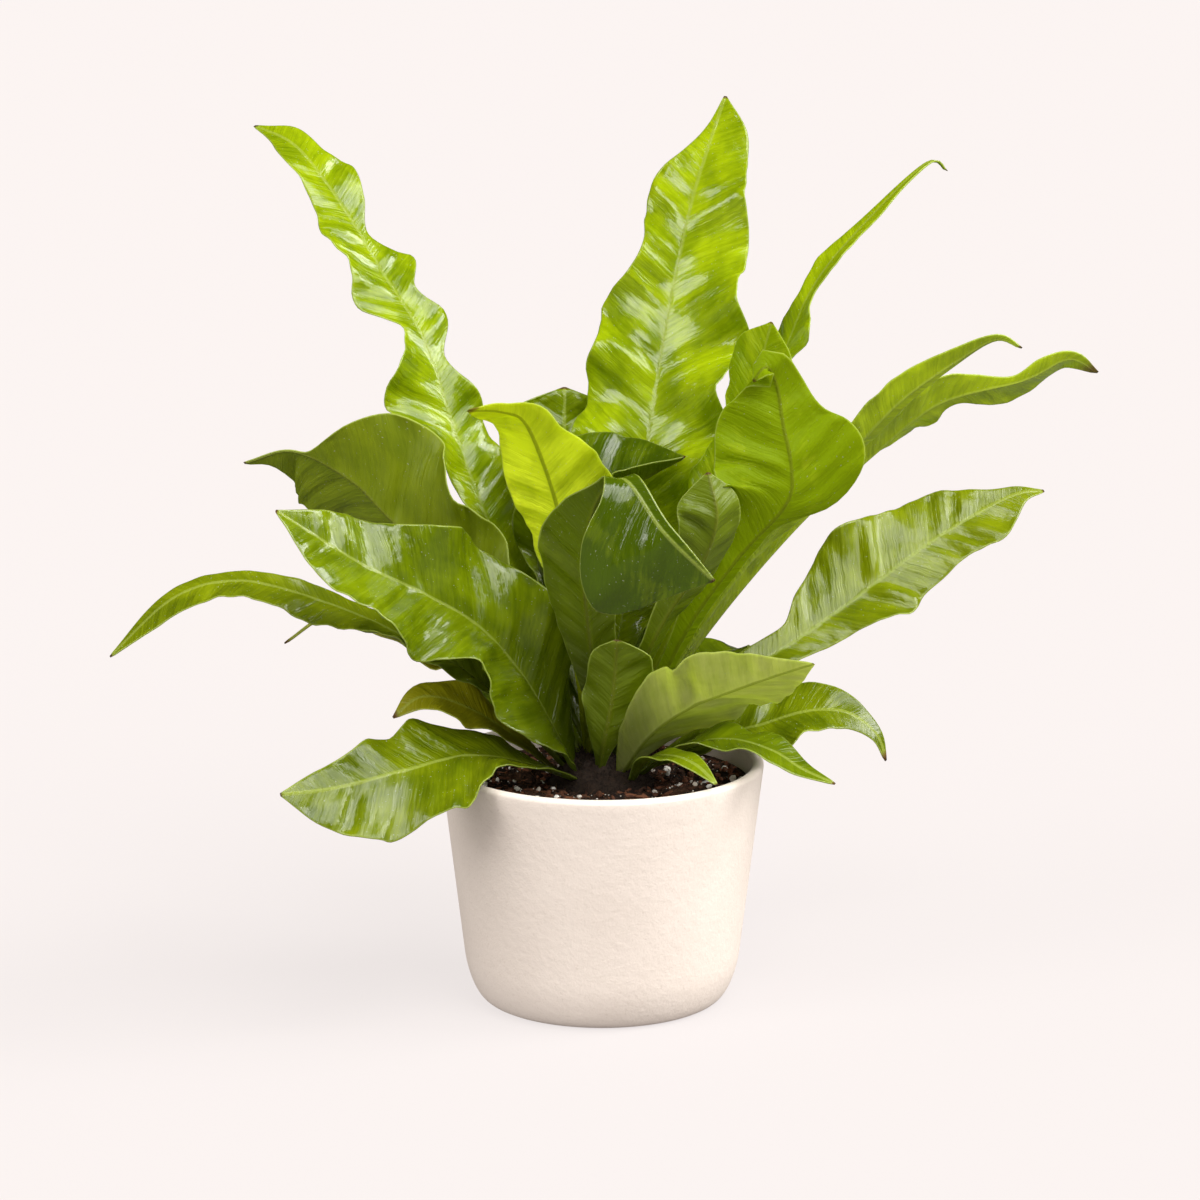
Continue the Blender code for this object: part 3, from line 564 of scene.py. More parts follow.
fronds = {
    # Left side
    "tall_left": dict(look="bright", tone=-0.05, heading=135, waves=(36, 7, 0.25, 0.45), scallop=0.05,
        path=[(9, -1.5, 113), (38, 160), (70, 204), (94, 245), (118, 293), (146, 322), (176, 353),
              (208, 378), (239, 386)],
        left=[4, 6, 8, 9, 9, 9, 10, 13, 22, 32, 25, 10, 23, 19, 24, 15, 12, 13, 6],
        right=[6, 9, 12, 14, 16, 18, 22, 23, 20, 16, 8, 18, 10, 20, 5, 12, 17, 11, 9],
        twist=[0, 0, -5, -10, -20], fold=[30, 15, 10, 5]),
    "far_left": dict(look="dull", tone=0.15, heading=185,
        path=[(16, 108), (56, 150), (94, 174), (129, 190), (165, 200), (195, 193), (225, 166)],
        left=[9, 18, 21, 18, 15, 12], right=[6, 14, 13, 9, 8, 7], twist=[0, -12, -25, -25],
        fold=[30, 15, 5, 0]),
    "broad_left": dict(heading=204, waves=(25, 3), lobe=20,
        path=[(14, 108), (36, 150), (60, 180), (88, 199), (119, 216), (158, 243)],
        left=[23, 35, 29, 34, 32, 23], right=[21, 32, 36, 33, 26, 17], twist=[-30, -50, -60, -55, -50],
        fold=[30, 20, 15]),
    "dull_left": dict(look="dull", heading=163, waves=(24, 3, 0.1, 0.1),
        path=[(11, -1, 113), (35, -1, 154), (70, 190), (104, 221), (122, 237), (150, 249), (175, 242)],
        left=[4, 5, 7, 10, 14, 20, 25, 30, 35, 38, 40, 42, 43, 43, 39, 26, 3, 0.7, 0.7],
        right=[4, 5, 7, 10, 14, 18, 22, 26, 29, 31, 31, 31, 30, 29, 30, 33, 32, 29, 8],
        twist=[20, 50, 70, 70, 50], fold=[20, 10, 5]),
    "low_front_left": dict(look="dull", tone=-0.05, heading=212, waves=(14, 4),
        path=[(18.5, 6.5, 107), (40, 7.5, 116.5), (70, 124), (105, 122), (140, 119), (168, 120)],
        left=[9, 19, 28, 31, 29, 21], right=[7, 20, 26, 21, 16, 10], twist=[0, -10, -30, -55, -60],
        fold=[20, 5, 0]),
    "bright_left": dict(look="backlit", tone=0.42, dry=0.08, heading=215, waves=(18, 3.5),
        path=[(8, 114), (11, 1, 155), (15, 2, 195), (25, 235), (33, 257), (43, 276), (57, 282), (73, 284)],
        left=[3, 4, 4, 5, 5, 6, 8, 10, 15, 21, 26, 29, 29, 28, 25, 15, 12, 7, 5],
        right=[3, 4, 4, 5, 5, 6, 8, 10, 13, 16, 18, 20, 21, 20, 19, 18, 17, 16, 11], twist=[20, 40, 40, 30],
        fold=[20, 10, 10, 10]),
    "old_left_upper": dict(look="old", tone=0.1, dry=0.1, heading=174,
        path=[(17, -3.4, 107), (50, -3.6, 148), (84, -1, 168.5), (103, 171), (126, 178), (148, 164)],
        left=[6, 12, 19, 5, 1.5], right=[4, 12, 14, 5, 1.5], twist=[-20, -30, -30], fold=[20, 10, 0]),
    "old_left_lower": dict(look="old", tone=0.2, dry=0.12, heading=193,
        path=[(20, 2, 106), (42, 1.5, 126), (64, 141), (84, 147), (98, 138)], left=[4, 10, 13, 10],
        right=[5, 10, 14, 10], twist=[-10, -30, -30], fold=[20, 10, 0]),
    # Middle
    "tall_middle": dict(look="bright", tone=0.05, heading=62, waves=(26, 7, 0.2, 0.3), scallop=0.05,
        path=[(5, 3, 115), (18, 2, 160), (32, 205), (45, 253), (60, 296), (74, 330), (92, 365), (124, 407)],
        left=[3, 5, 7, 9, 12, 17, 25, 32, 36, 38, 34, 33, 39, 23, 19, 24, 21, 11, 4],
        right=[4, 7, 11, 16, 21, 26, 30, 33, 36, 38, 40, 41, 40, 37, 33, 29, 26, 21, 15], twist=[0, 0, 10],
        fold=[30, 15, 5, 0]),
    "arching_front": dict(tone=-0.5, heading=270, waves=(12, 3),
        path=[(7, 114), (20, -4, 160), (38, -8, 205), (57, -4, 242), (73, 9, 259), (87, 27, 238),
              (90, 49, 217)], left=[8, 11, 13, 15, 16, 13, 7, 5, 4],
        right=[4, 9, 15, 21, 23, 14, 6, 34, 43], twist=[0, 0, 0, 20], fold=[25, 20, 30, 30, 10, 0, 0]),
    "inner_right": dict(tone=-0.35, heading=0, waves=(15, 3),
        path=[(-4, 115), (-9, 10, 160), (-10, 14, 195), (0, 13, 228), (18, 10, 242), (38, 4, 254)],
        left=[7, 14, 36, 34], right=[4, 8, 22, 20], fold=[30, 45, 65, 60, 45]),
    "low_centre": dict(tone=-0.5, heading=262, waves=(15, 3), foot=2.2,
        path=[(13, 0.2, 109), (19, 4, 128), (23, 8, 148), (27, 10, 166), (31, 11, 177)],
        left=[3, 5, 8, 12, 15, 17, 18, 18, 16], right=[3, 6, 9, 12, 14, 14, 14, 13, 10]),
    # Right side
    "upper_right": dict(look="bright", tone=0.1, heading=27, waves=(30, 4), scallop=0.1,
        path=[(7, 2.5, 115), (31, 2, 155), (56, 205), (80, 255), (97, 300), (112, 328), (137, 353),
              (170, 379), (181, 375)],
        left=[3, 4, 6, 8, 10, 12, 15, 17, 18, 18, 15, 7, 16, 8, 9, 6, 4, 3, 2],
        right=[3, 4, 6, 8, 10, 12, 15, 17, 18, 18, 15, 8, 20, 9, 10, 7, 7, 4, 3]),
    "bright_right": dict(look="backlit", tone=-0.6, heading=-22, waves=(20, 3.5),
        path=[(11.5, -2, 112), (40, 175), (66, 213), (89, 240), (91, 258), (87, 276), (84, 293),
              (82, -8, 303), (78, -14, 297)],
        left=[3, 4, 4, 5, 5, 6, 6, 6, 6, 5, 5, 5, 14, 32, 36, 29, 18, 12, 9],
        right=[3, 4, 4, 5, 5, 6, 8, 11, 15, 20, 25, 29, 32, 33, 33, 31, 28, 21, 11], twist=[-30, -50, -55],
        fold=[20, 10, 0]),
    "behind_right": dict(look="backlit", tone=-0.4, heading=3, waves=(20, 3.5),
        path=[(3.2, 0.6, 115), (26, -4, 160), (46, -8.5, 210), (62, -10.5, 255), (71, -8.5, 295),
              (76, -10, 318)], left=[4, 5, 6, 7, 8, 10, 11, 13, 15, 18, 21, 24, 26, 27, 27, 25, 22, 19, 16],
        right=[4, 5, 6, 7, 8, 10, 11, 12, 13, 14, 15, 17, 18, 20, 22, 25, 27, 27, 22], twist=[20, 30],
        fold=[20, 10, 0]),
    "narrow_right": dict(look="bright", tone=0.3, backFirst=True, heading=0, waves=(30, 3.5),
        path=[(10.5, 112), (40, 7, 165), (74, 10, 212), (108, 6, 250), (135, 1, 280), (159, 298),
              (178, 309), (190, 305)], left=[5, 8, 7, 6, 7, 8, 7, 5, 3],
        right=[4, 7, 11, 15, 17, 17, 13, 11, 7], twist=[0, -30, -60, -50, -40], fold=[30, 20, 10]),
    "long_right": dict(look="bright", tone=0.3, dry=0.1, backFirst=True, heading=15, waves=(30, 3.5),
        path=[(11, 4, 112), (52, 12, 165), (95, 14, 212), (134, 8, 249), (162, 272), (203, 281), (225, 290),
              (240, 283)], left=[3, 4, 6, 7, 8, 9, 10, 11, 12, 12, 10, 10, 23, 18, 6, 11, 16, 13, 10],
        right=[3, 4, 6, 8, 10, 12, 14, 16, 17, 17, 16, 15, 15, 16, 14, 8, 4, 8, 5],
        twist=[0, -20, -50, -50], fold=[30, 20, 10]),
    "broad_right": dict(look="dull", tone=0.2, heading=32, waves=(20, 3.5),
        path=[(16, 108), (60, 136), (105, 154), (145, 173), (188, 195), (232, 211), (254, 212)],
        left=[4, 6, 8, 9, 9, 9, 9, 10, 19, 24, 28, 31, 30, 27, 24, 21, 14, 7, 4],
        right=[4, 6, 8, 9, 10, 10, 10, 11, 13, 14, 19, 25, 20, 18, 16, 17, 19, 13, 5],
        twist=[30, 40, 45, 45, 40], fold=[25, 10, 0]),
    "pale_front_right": dict(look="pale", heading=-35, waves=(9, 2.5), scallop=0.03,
        path=[(15, -7, 109), (28, -3, 128), (48, 144), (75, 157), (100, 168), (115, 174)],
        left=[26, 36, 31, 20], right=[17, 27, 31, 20], twist=[-20, -30, -35]),
    "drooping_right": dict(look="dull", tone=-0.05, dry=0.14, heading=-2,
        path=[(16, 106), (50, 122), (75, 130), (94, 136), (112, 136), (126, 126), (131, 113)],
        widths=[9, 19, 21, 15, 7], twist=[10, 30, 40], fold=[25, 10, 0]),
    "low_right": dict(tone=-0.1, dry=0.06, heading=-25,
        path=[(17, 106), (40, 122), (63, 129), (85, 126), (100, 119), (116, 114)], widths=[8, 12, 12, 7],
        twist=[0, 10, 20], fold=[20, 10, 0]),
    "small_front": dict(tone=0.1, heading=-50, waves=(10, 3), foot=2.2,
        path=[(20, 1, 106), (32, 119), (50, 124), (66, 123), (80, 117)], widths=[6, 7, 5],
        twist=[0, 10, 20], fold=[20, 10, 0]),
    "cupped_small": dict(tone=-0.5, heading=-50, waves=(15, 3), foot=2.2,
        path=[(7.2, 0.6, 113), (19, 3, 150), (40, 3, 185), (63, 5, 214), (72, 6, 237), (66, 6, 257)],
        left=[2.4, 2.4, 3, 3, 4, 5, 6, 7, 8, 9, 10, 12, 14, 15, 16, 16, 15, 14, 10],
        right=[2.4, 2.4, 3, 3, 4, 4, 5, 5, 6, 7, 8, 10, 12, 13, 15, 16, 17, 17, 14], twist=[-20, -20, -20],
        fold=[30, 30, 25]),
    # Back
    "behind_centre": dict(tone=-0.5, heading=70,
        path=[(12, -1, 110), (26, -4, 145), (42, -9, 178), (52, -15, 205), (59, -17, 225)],
        widths=[3, 3, 4, 5, 8, 11, 14, 14, 10]),
    "back_upright": dict(heading=108, waves=(25, 3),
        path=[(10, -4, 114), (31, -3, 160), (53, -3, 210), (69, -4, 248), (76, -6, 274)],
        left=[4, 7, 10, 13, 16, 19, 22, 24, 26, 27, 28, 29, 30, 30, 30, 30, 29, 28, 22],
        right=[3, 4, 6, 9, 11, 14, 17, 19, 21, 22, 24, 25, 26, 27, 28, 29, 29, 28, 22]),
    "back_middle": dict(tone=0.05, heading=86, waves=(25, 4),
        path=[(15, 109), (48, 156), (88, 190), (130, 208), (172, 203)], widths=[10, 24, 25, 16]),
    "back_low_right": dict(heading=58, waves=(25, 4),
        path=[(16, 107), (50, 126), (85, 137), (118, 140), (145, 132)], widths=[10, 20, 21, 14]),
    "back_low_left": dict(tone=0.1, heading=119, waves=(25, 4),
        path=[(17, -3, 107), (55, 130), (95, 150), (135, 160), (170, 150)], widths=[8, 22, 24, 16]),
    "back_far_left": dict(dry=0.06, heading=152, waves=(25, 4),
        path=[(16, -5, 107), (44, -3, 124), (70, 133), (90, 134), (106, 127)], widths=[7, 15, 17, 12]),
}

blade = dict(
    rowStep=2.4,
    columns=13,  # from beside the rib to near an edge
    thickness=0.7,
    edge=0.5,  # width of the rounded edge
    ribHalf=1.15,
    ribRise=0.35,
    keel=0.9,
    stalkHalf=2.4,
    stalkThickness=2.4,
    stalkShare=1 / 6,
    paintedShadeShare=0.5,  # part of the length over which a blade's colour is painted darker towards its foot, as painted shade
    tipHalf=0.7,
    calmHalf=4,  # half a blade's width up to which it stays plain
    calmRange=14,  # and the further width over which its small shapes grow to their full size
    veinLean=0.65,  # how far a side vein runs on along the blade for each millimetre out
    pleat=0.16, pleatLength=6.5,
    buckle=2.4, buckleLength=21,
    frill=1.5, frillLength=19,
)


# A smooth curve through values at even distances, read at shares of its length (Catmull-Rom):
# b + t/2 (c - a + t (2a - 5b + 4c - d + t (3(b - c) + d - a))) between b and c.
def along(values, shares):
    values = np.asarray(values, float)
    where = np.clip(shares * (len(values) - 1), 0, len(values) - 1 - 1e-9)
    start = where.astype(int)
    t = where - start
    if values.ndim > 1:
        t = t[:, None]
    padded = np.concatenate([2 * values[:1] - values[1:2], values, 2 * values[-1:] - values[-2:-1]])
    a, b, c, d = (padded[start + k] for k in range(4))
    return b + 0.5 * t * (c - a + t * (2 * a - 5 * b + 4 * c - d + t * (3 * (b - c) + d - a)))


# Points at even distances along the midrib, its direction there, the left-hand way, and its length.
def midrib(frond, shares):
    turn = math.radians(frond["heading"])
    ways = np.array([
        [math.cos(turn), math.sin(turn), 0],
        [-math.sin(turn), math.cos(turn), 0],
        [0, 0, 1],
    ])
    path = [(spot[0], spot[1] if len(spot) > 2 else 0, spot[-1]) for spot in frond["path"]]
    dense = along(path, np.linspace(0, 1, 400))
    run = np.concatenate([[0], np.cumsum(np.linalg.norm(np.diff(dense, axis=0), axis=1))])

    def point(share):
        reach = np.clip(share, 0, 1) * run[-1]
        return np.stack([np.interp(reach, run, dense[:, k]) for k in range(3)], 1) @ ways

    return point(shares), unit(point(shares + 0.01) - point(shares - 0.01)), ways[1], run[-1]


# Distances across half a blade, in millimetres: 0, three for the rib, even ones out, and two for the edge.
def acrossDistances(half, share):
    small = np.minimum(1, half / 6)[:, None]
    rib = (blade["ribHalf"] * (1 - 0.65 * share))[:, None] * small
    ribPart = rib * np.array([0, 0.45, 1.0, 1.9])
    start, end = ribPart[:, -1:], half[:, None] - 1.3 * small
    evenPart = start + (end - start) * np.linspace(0, 1, blade["columns"] + 1)[1:]
    edgePart = half[:, None] - np.array([blade["edge"], 0.0]) * small
    return np.concatenate([ribPart, evenPart, edgePart], 1)


# Both halves as one grid, from the right edge over the midrib to the left edge.
def joinHalves(halves):
    leftHalf, rightHalf = halves
    return np.concatenate([rightHalf[:, ::-1], leftHalf[:, 1:]], 1)


# The blade's middle surface. Each half is a curve that leaves the midrib at the fold's angle and swings with
# the waves: angle(s) = fold (1 - 0.35 s) + swing fullness s^0.7 sin(phase - 0.9 s), summed in short steps.
def frondSheet(frond, shares):
    middle, direction, left = midrib(frond, shares)[:3]
    across = unit(left - (direction @ left)[:, None] * direction)
    upper = np.cross(direction, across)
    twist = np.radians(along(frond["twist"], shares))[:, None]
    across, upper = (
        across * np.cos(twist) + upper * np.sin(twist),
        upper * np.cos(twist) - across * np.sin(twist),
    )
    given = [frond.get(side, frond.get("widths")) for side in ("left", "right")]
    tip = blade["tipHalf"]
    halves = [np.maximum(along([frond["foot"], *widths, tip], shares), tip) for widths in given]
    widest = np.maximum(*halves)
    fullness = widest / widest.max()
    swing, count, start, lag = (*frond["waves"], usualStart, usualLag)[:4]
    fold = np.radians(along(frond["fold"], shares))[:, None]
    fine = np.linspace(0, 1, 65)
    sheets, distances, edges = [], [], []
    for half, sign in zip(halves, (1, -1)):
        drift = 0.1 * np.sin(2 * math.pi * (1.7 * shares + start))
        phase = 2 * math.pi * (count * shares + start + drift + (lag if sign < 0 else 0))
        wave = fullness[:, None] * fine ** 0.7 * np.sin(phase[:, None] - 0.9 * fine)
        angle = fold * (1 - 0.35 * fine) + math.radians(swing) * wave
        swell = frond["scallop"] * fullness * np.cos(phase - 0.9)
        half = half + np.maximum(half - blade["stalkHalf"], 0) * swell
        back = frond["lobe"] * fullness * np.clip(1 - 3 * shares, 0, 1) * (sign > 0)
        distance = acrossDistances(half, shares)
        share = distance / half[:, None]
        step = np.clip((share * 64).astype(int), 0, 63)
        part = share * 64 - step
        moves = []
        for slope in (np.cos(angle), np.sin(angle)):
            sums = np.cumsum((slope[:, 1:] + slope[:, :-1]) / 2, 1) / 64
            sums = np.concatenate([np.zeros((len(shares), 1)), sums], 1)
            low, high = np.take_along_axis(sums, step, 1), np.take_along_axis(sums, step + 1, 1)
            moves.append((low * (1 - part) + high * part) * half[:, None])
        sheet = middle[:, None] + across[:, None] * (sign * moves[0])[..., None]
        sheet = sheet + upper[:, None] * moves[1][..., None]
        sheet = sheet - direction[:, None] * (back[:, None] * share)[..., None]
        sheets.append(sheet)
        distances.append(distance * sign)
        edges.append(half[:, None] - distance)
    return joinHalves(sheets), joinHalves(distances), joinHalves(edges)


def sheetNormals(sheet):
    normal = np.cross(np.gradient(sheet, axis=0), np.gradient(sheet, axis=1))
    return normal / np.maximum(np.linalg.norm(normal, axis=2), 1e-9)[..., None]


# Small shapes on the sheet, moved along its normal: pleats and a soft buckling that follow the side veins,
# both wobbles of q = along - lean |across|, and a frill that grows with the cube of the place across.
def detailedSheet(frond, shares, length, seed):
    sheet, distance, edge = frondSheet(frond, shares)
    run = (shares * length)[:, None]
    out = np.abs(distance)
    full = np.clip((out + edge - blade["calmHalf"]) / blade["calmRange"], 0, 1)
    q = run - blade["veinLean"] * out
    side = np.where(distance < 0, 3.1, 0)
    window = np.clip(out / 7, 0, 1) * np.clip(edge / 3, 0.15, 1) * full
    pleat = blade["pleat"] * wobble(q + side, blade["pleatLength"], seed) * 2 * window
    buckle = blade["buckle"] * wobble(q + side, blade["buckleLength"], seed + 1) * window
    frill = blade["frill"] * wobble(run + 9 * np.sign(distance), blade["frillLength"], seed + 2)
    calmTip = np.clip(4 - 4 * shares, 0, 1)[:, None]
    frill = frill * (out / np.maximum(out + edge, 1e-6)) ** 3 * full * calmTip
    return sheet + sheetNormals(sheet) * (pleat + buckle + frill)[..., None], distance, edge


# The solid: the sheet and, on each side of it, half a thickness that falls to nothing at the edge as
# sqrt(1 - (1 - edge/width)^2), with a low rib above the midrib, a keel below it, and an oval stalk.
def bladePoints(sheet, distance, edge, shares):
    out = np.abs(distance)
    half = out + edge
    rounded = np.clip(edge / (blade["edge"] * np.minimum(1, half / 6)), 0, 1)
    thin = blade["thickness"] / 2 * np.sqrt(1 - (1 - rounded) ** 2)
    ribHalf = blade["ribHalf"] * (1 - 0.65 * shares)[:, None] * np.minimum(1, half / 6)
    hill = np.exp(-(out / ribHalf) ** 2)
    fading = (1 - 0.7 * shares)[:, None]
    stalk = np.clip(1 - shares / blade["stalkShare"], 0, 1)[:, None]
    oval = blade["stalkThickness"] / 2 * np.sqrt(np.clip(1 - (out / half) ** 2, 0, 1))
    above = (thin + blade["ribRise"] * hill * fading) * (1 - stalk) + oval * stalk
    below = (thin + blade["keel"] * hill * fading) * (1 - stalk) + oval * stalk
    normal = sheetNormals(sheet)
    return sheet + normal * above[..., None], sheet - normal * below[..., None]


# The points of a blade, or their values: the upper grid, and the lower one without its edge.
def bothSides(upper, lower):
    return np.concatenate([upper.reshape(-1, 3), lower[1:-1, 1:-1].reshape(-1, 3)])


# Both sides share the points of the grid's edge, so the solid is closed without a rim.
def bladeFaces(rows, columns):
    upper = np.arange(rows * columns).reshape(rows, columns)
    lower = upper.copy()
    inside = (rows - 2) * (columns - 2)
    lower[1:-1, 1:-1] = rows * columns + np.arange(inside).reshape(rows - 2, columns - 2)
    top = np.stack([upper[:-1, :-1], upper[1:, :-1], upper[1:, 1:], upper[:-1, 1:]], -1).reshape(-1, 4)
    under = np.stack([lower[:-1, :-1], lower[:-1, 1:], lower[1:, 1:], lower[1:, :-1]], -1).reshape(-1, 4)
    return np.concatenate([top, under])


def makeFrond(name, frond, looks, seed):
    length = midrib(frond, np.linspace(0, 1, 3))[3]
    rows = max(24, int(length / blade["rowStep"]))
    shares = np.linspace(0, 1, rows)
    sheet, distance, edge = detailedSheet(frond, shares, length, seed)
    above, below = bladePoints(sheet, distance, edge, shares)
    above[[0, -1]], above[:, [0, -1]] = sheet[[0, -1]], sheet[:, [0, -1]]
    columns = sheet.shape[1]
    faces = bladeFaces(rows, columns)
    piece = addPiece("leaf_" + name, bothSides(above, below), faces.tolist(), looks[frond["look"]],
                     "frond_" + name)
    spot = np.stack([distance, np.repeat((shares * length)[:, None], columns, 1), edge], -1)
    dry = np.clip((shares - 1) / frond["dry"] + 1, 0, 1)
    # Painted shade: 1 at the foot, falling to 0 part way up the blade; the leaf colour is painted darker with
    # it
    depth = np.clip(1 - shares / blade["paintedShadeShare"], 0, 1)
    traits = np.stack([np.full(rows, frond["tone"]), dry, depth], -1)[:, None].repeat(columns, 1)
    ownPlace = np.array([0, 300.0 * (seed % 37), 0])  # so that no two blades have the same pattern
    addAttribute(piece.data, "bladePlace", bothSides(spot, spot) + ownPlace)
    addAttribute(piece.data, "bladeTraits", bothSides(traits, traits))
    onTop = np.arange(len(faces)) < len(faces) // 2
    addAttribute(piece.data, "upperSide", (onTop != frond["backFirst"]).astype(float), "FACE")


# Leaf pattern, from the place on the blade in millimetres (across, along, from the edge):
# q = along - lean |across| runs across the side veins, so noise on (q / short, |across| / long) gives
# streaks along them. Relief is two more such noises, a broader and a finer one, with pores on them. Rib and
# Margin are masks.
def makeVeinGroup():
    group, given, result = newGroup(
        "leafVeins", dict(Place="Vector", Lean="Float"),
        dict.fromkeys(("Streaks", "Mottle", "Relief", "Rib", "Margin"), "Float"))
    across, run, edge = parts(group, given["Place"])
    out = calculate(group, "ABSOLUTE", across)
    side = times(group, calculate(group, "SIGN", across), 40.0)
    q = calculate(group, "SUBTRACT", run, times(group, out, given["Lean"]))

    def stretched(first, firstLength, second, secondLength, third, detail, roughness):
        first = calculate(group, "DIVIDE", first, firstLength)
        second = calculate(group, "DIVIDE", second, secondLength)
        return noise(group, joined(group, first, second, third), 1.0, detail, roughness)

    q = timesPlus(group, stretched(across, 7.0, run, 7.0, 0.0, 2.0, 0.5), 2.0, q)

    def veinNoise(short, long, detail, roughness):
        return stretched(q, short, out, long, side, detail, roughness)

    fill(group, result, Streaks=veinNoise(2.2, 20.0, 3.0, 0.6),
         Mottle=stretched(run, 26.0, across, 15.0, 0.0, 3.0, 0.55))
    folds = veinNoise(4.0, 22.0, 2.0, 0.5)
    lines = veinNoise(1.7, 24.0, 2.0, 0.6)
    height = timesPlus(group, folds, 1.5, lines)
    pores = noise(group, joined(group, across, run, 0.0), 2.2, 1.0, 0.4)
    fill(group, result, Relief=timesPlus(group, pores, 0.10, height),
         Rib=ramp(group, out, 0.5, 1.2, 1.0, 0.0), Margin=ramp(group, edge, 0.25, 0.8, 1.0, 0.0))
    return group


leafLooks = dict(
    green=dict(deep=(0.065, 0.11, 0.001), fresh=(0.3, 0.4, 0.002), back=(0.15, 0.21, 0.002),
               glow=(0.5, 0.7, 0.003), through=0.26, rough=0.15, shine=0.45, coat=0.6),
    dull=dict(deep=(0.07, 0.112, 0.001), fresh=(0.29, 0.36, 0.003), back=(0.15, 0.21, 0.002),
              glow=(0.5, 0.66, 0.004), through=0.26, rough=0.2, shine=0.35, coat=0.3),
    bright=dict(deep=(0.12, 0.2, 0.001), fresh=(0.56, 0.7, 0.004), back=(0.27, 0.36, 0.004),
                glow=(0.7, 0.9, 0.005), through=0.35, rough=0.13, shine=0.5, coat=0.62),
    # Painted glow: this look's fresh colour is far brighter than a leaf's own green, standing in for light
    # that shines through from behind
    backlit=dict(deep=(0.22, 0.33, 0.001), fresh=(0.88, 0.98, 0.035), back=(0.27, 0.385, 0.001),
                 glow=(0.88, 0.98, 0.003), through=0.5, rough=0.24, shine=0.1, coat=0.3),
    # Painted sheen: this look's back colour is nearly white, standing in for the whitish sheen on the
    # underside it shows
    pale=dict(deep=(0.14, 0.18, 0.02), fresh=(0.46, 0.54, 0.11), back=(0.96, 1.0, 0.36),
              glow=(0.9, 1.0, 0.2), through=0.58, rough=0.26, shine=0.4, coat=0.3),
    old=dict(deep=(0.2, 0.2, 0.004), fresh=(0.44, 0.43, 0.01), back=(0.38, 0.36, 0.02),
             glow=(0.7, 0.64, 0.02), through=0.3, rough=0.34, shine=0.4, coat=0.1),
)

# What all the leaf looks share. A share says how much of the colour before it a mask takes away.
leafPaint = dict(
    rib=(0.46, 0.55, 0.10), ribShare=0.45,
    backRib=(0.17, 0.20, 0.010), backRibShare=0.8,
    margin=(0.50, 0.60, 0.12), marginShare=0.55,
    # Painted shade: the colour a blade is painted towards at its foot, where the crown shades it
    foot=(0.026, 0.038, 0.001), footShadeShare=0.8,
    spot=(0.62, 0.66, 0.50), spotShare=0.5,
    dry=(0.16, 0.075, 0.022),
    streaks=0.25,  # how far the streaks, and the clouds, take a blade from deep to fresh
    clouds=0.45,
    leastFresh=0.12,
    ownGlow=0.45,  # part of the surface's colour in the light that comes through
    backMatt=0.2,  # how much rougher the back is
    ribCoat=0.1,
    coatRough=0.08,
    reliefDepth=0.0005,
)


def makeLeafLook(name, settings, veins):
    paint = leafPaint
    look, tree, shader = newMaterial(
        "leaf_" + name, Specular_IOR_Level=settings["shine"], Coat_Roughness=paint["coatRough"])
    where = place(tree, "bladePlace").outputs["Vector"]
    tone, dry, depth = parts(tree, place(tree, "bladeTraits").outputs["Vector"])
    upper = place(tree, "upperSide").outputs["Fac"]
    pattern = useGroup(tree, veins, Place=where, Lean=blade["veinLean"])
    mottle = ramp(tree, pattern["Mottle"], 0.30, 0.72)
    streaks = ramp(tree, pattern["Streaks"], 0.32, 0.70)
    mix = timesPlus(tree, mottle, paint["clouds"], paint["leastFresh"])
    # Tone, given per frond, shifts the mix: besides the frond's own colour it holds painted light and shade
    mix = calculate(tree, "ADD", timesPlus(tree, streaks, paint["streaks"], mix), tone, clamp=True)
    colour = blendColour(tree, mix, settings["deep"], settings["fresh"])
    colour = blendColour(tree, times(tree, pattern["Rib"], paint["ribShare"]), colour, paint["rib"])
    under = blendColour(tree, mix, settings["back"], settings["fresh"])
    under = blendColour(tree, times(tree, pattern["Rib"], paint["backRibShare"]), under, paint["backRib"])
    colour = blendColour(tree, upper, under, colour)
    colour = blendColour(tree, times(tree, pattern["Margin"], paint["marginShare"]), colour, paint["margin"])
    brown = ramp(tree, calculate(tree, "ADD", dry, times(tree, pattern["Mottle"], 0.6)), 0.95, 1.2)
    colour = blendColour(tree, brown, colour, paint["dry"])
    # Painted shade: each blade darkens towards its foot
    colour = blendColour(tree, ramp(tree, depth, 0.05, 0.9, 0.0, paint["footShadeShare"]), colour, paint["foot"])
    spots = ramp(tree, noise(tree, where, 1.1, 0.0), 0.80, 0.84)
    colour = blendColour(tree, times(tree, spots, paint["spotShare"]), colour, paint["spot"])
    gloss = ramp(tree, pattern["Streaks"], 0.3, 0.75, settings["rough"] - 0.04, settings["rough"] + 0.08)
    matt = times(tree, calculate(tree, "SUBTRACT", 1.0, upper), paint["backMatt"])
    rough = calculate(tree, "MULTIPLY_ADD", brown, 0.2, calculate(tree, "ADD", gloss, matt), clamp=True)
    coat = times(tree, upper, ramp(tree, pattern["Rib"], 0.0, 1.0, settings["coat"], paint["ribCoat"]))
    bump = relief(tree, pattern["Relief"], paint["reliefDepth"])
    fill(tree, shader.inputs, Base_Color=colour, Roughness=rough, Coat_Weight=coat, Normal=bump)
    glow = tree.nodes.new("ShaderNodeBsdfTranslucent")
    through = blendColour(tree, paint["ownGlow"], settings["glow"], colour)
    fill(tree, glow.inputs, Color=through, Normal=bump)
    both = tree.nodes.new("ShaderNodeMixShader")
    both.inputs[0].default_value = settings["through"]
    tree.links.new(shader.outputs[0], both.inputs[1])
    tree.links.new(glow.outputs[0], both.inputs[2])
    tree.links.new(both.outputs[0], tree.nodes["Material Output"].inputs["Surface"])
    return look


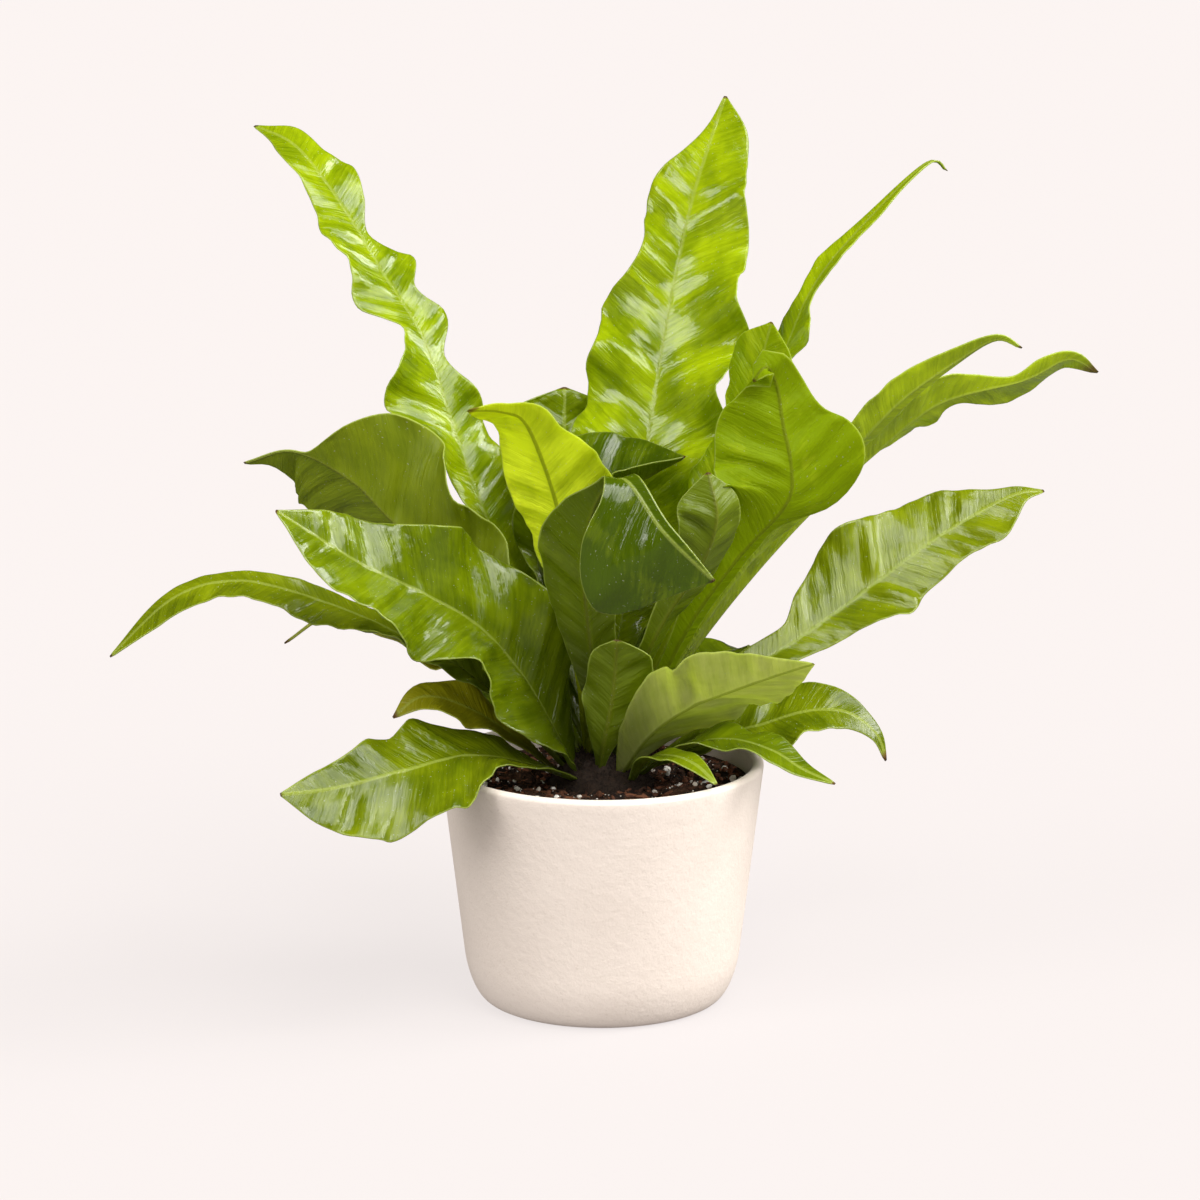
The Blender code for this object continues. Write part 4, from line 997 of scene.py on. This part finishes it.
veinGroup = makeVeinGroup()
looks = {name: makeLeafLook(name, settings, veinGroup) for name, settings in leafLooks.items()}
for number, (name, frond) in enumerate(fronds.items()):
    makeFrond(name, {**usual, **frond}, looks, 100 + 7 * number)
print("fronds made")


# The set: a plain pale floor, soft lamps that are mostly to the right, and the camera.
# The camera sees floor and sky as even and pale, but they light the plant less than that.

studio = dict(
    floorTint=(0.99, 0.93, 0.915),
    floorGlow=0.765,
    floorBounce=0.26,
    floorMirror=0.01,
    floorBase=0.12,
    skyLight=0.42,
    skyMirror=0.01,
    lampColour=(1.0, 0.985, 0.955),
)

# Each lamp's strength, its spread in degrees, and the way towards it.
lamps = dict(
    window=dict(strength=2.9, spread=54, way=(0.46, -0.52, 0.72)),
    key=dict(strength=2.05, spread=28, way=(0.82, 0.06, 0.57)),
    top=dict(strength=0.6, spread=26, way=(0.18, -0.38, 0.90)),
    left=dict(strength=1.4, spread=30, way=(-0.77, -0.47, 0.44)),
)

view = dict(
    side=-1.0,
    distance=1963.0,
    height=635.5,
    pitch=12.84,  # down from level
    lens=131.7,
    sensor=36,
)


# One value where the camera looks straight at it, one in reflections, and one for the rest of its light.
def seenOrLit(tree, seen, mirrored, lit):
    rays = tree.nodes.new("ShaderNodeLightPath").outputs
    light = timesPlus(tree, rays["Is Glossy Ray"], mirrored - lit, lit)
    camera = rays["Is Camera Ray"]
    rest = times(tree, light, calculate(tree, "SUBTRACT", 1.0, camera))
    return timesPlus(tree, camera, seen, rest)


def makeFloor():
    tint = studio["floorTint"]
    look, tree, shader = newMaterial(
        "paleFloor", Base_Color=tuple(studio["floorBase"] * part for part in tint), Roughness=0.9,
        Specular_IOR_Level=0.0, Emission_Color=tint)
    glow = seenOrLit(tree, studio["floorGlow"], studio["floorMirror"], studio["floorBounce"])
    fill(tree, shader.inputs, Emission_Strength=glow)
    reach, sides = 40.0, 64
    angle = 2 * math.pi * np.arange(sides) / sides
    points = np.stack([reach * np.cos(angle), reach * np.sin(angle), 0 * angle - 0.0002], -1)
    floor = addMesh("floor", points, [tuple(range(sides))], look)


# A sun lamp shines along its own -Z, so its +Z is turned to the side that the light comes from.
def addSun(name, settings):
    data = bpy.data.lights.new(name, "SUN")
    data.energy = settings["strength"]
    data.angle = math.radians(settings["spread"])
    data.color = studio["lampColour"]
    up = unit(np.array(settings["way"]))
    lamp = addObject(name, data)
    lamp.rotation_euler = (math.acos(up[2]), 0, math.atan2(up[1], up[0]) + math.pi / 2)


def makeWorld():
    world = bpy.data.worlds.new("paleStudio")
    world.use_nodes = True
    back = world.node_tree.nodes["Background"]
    light = seenOrLit(world.node_tree, 1.0, studio["skyMirror"], studio["skyLight"])
    fill(world.node_tree, back.inputs, Color=studio["floorTint"], Strength=light)
    bpy.context.scene.world = world


def makeCamera():
    data = bpy.data.cameras.new("camera")
    data.lens = view["lens"]
    data.sensor_width = view["sensor"]
    data.clip_end = 100
    camera = addObject("camera", data)
    camera.location = (view["side"] * mm, -view["distance"] * mm, view["height"] * mm)
    camera.rotation_euler = (math.radians(90 - view["pitch"]), 0, 0)
    bpy.context.scene.camera = camera


makeFloor()
for lampName, lampSettings in lamps.items():
    addSun(lampName, lampSettings)
makeWorld()
makeCamera()
bpy.context.scene.view_settings.view_transform = "Standard"
print("set made")
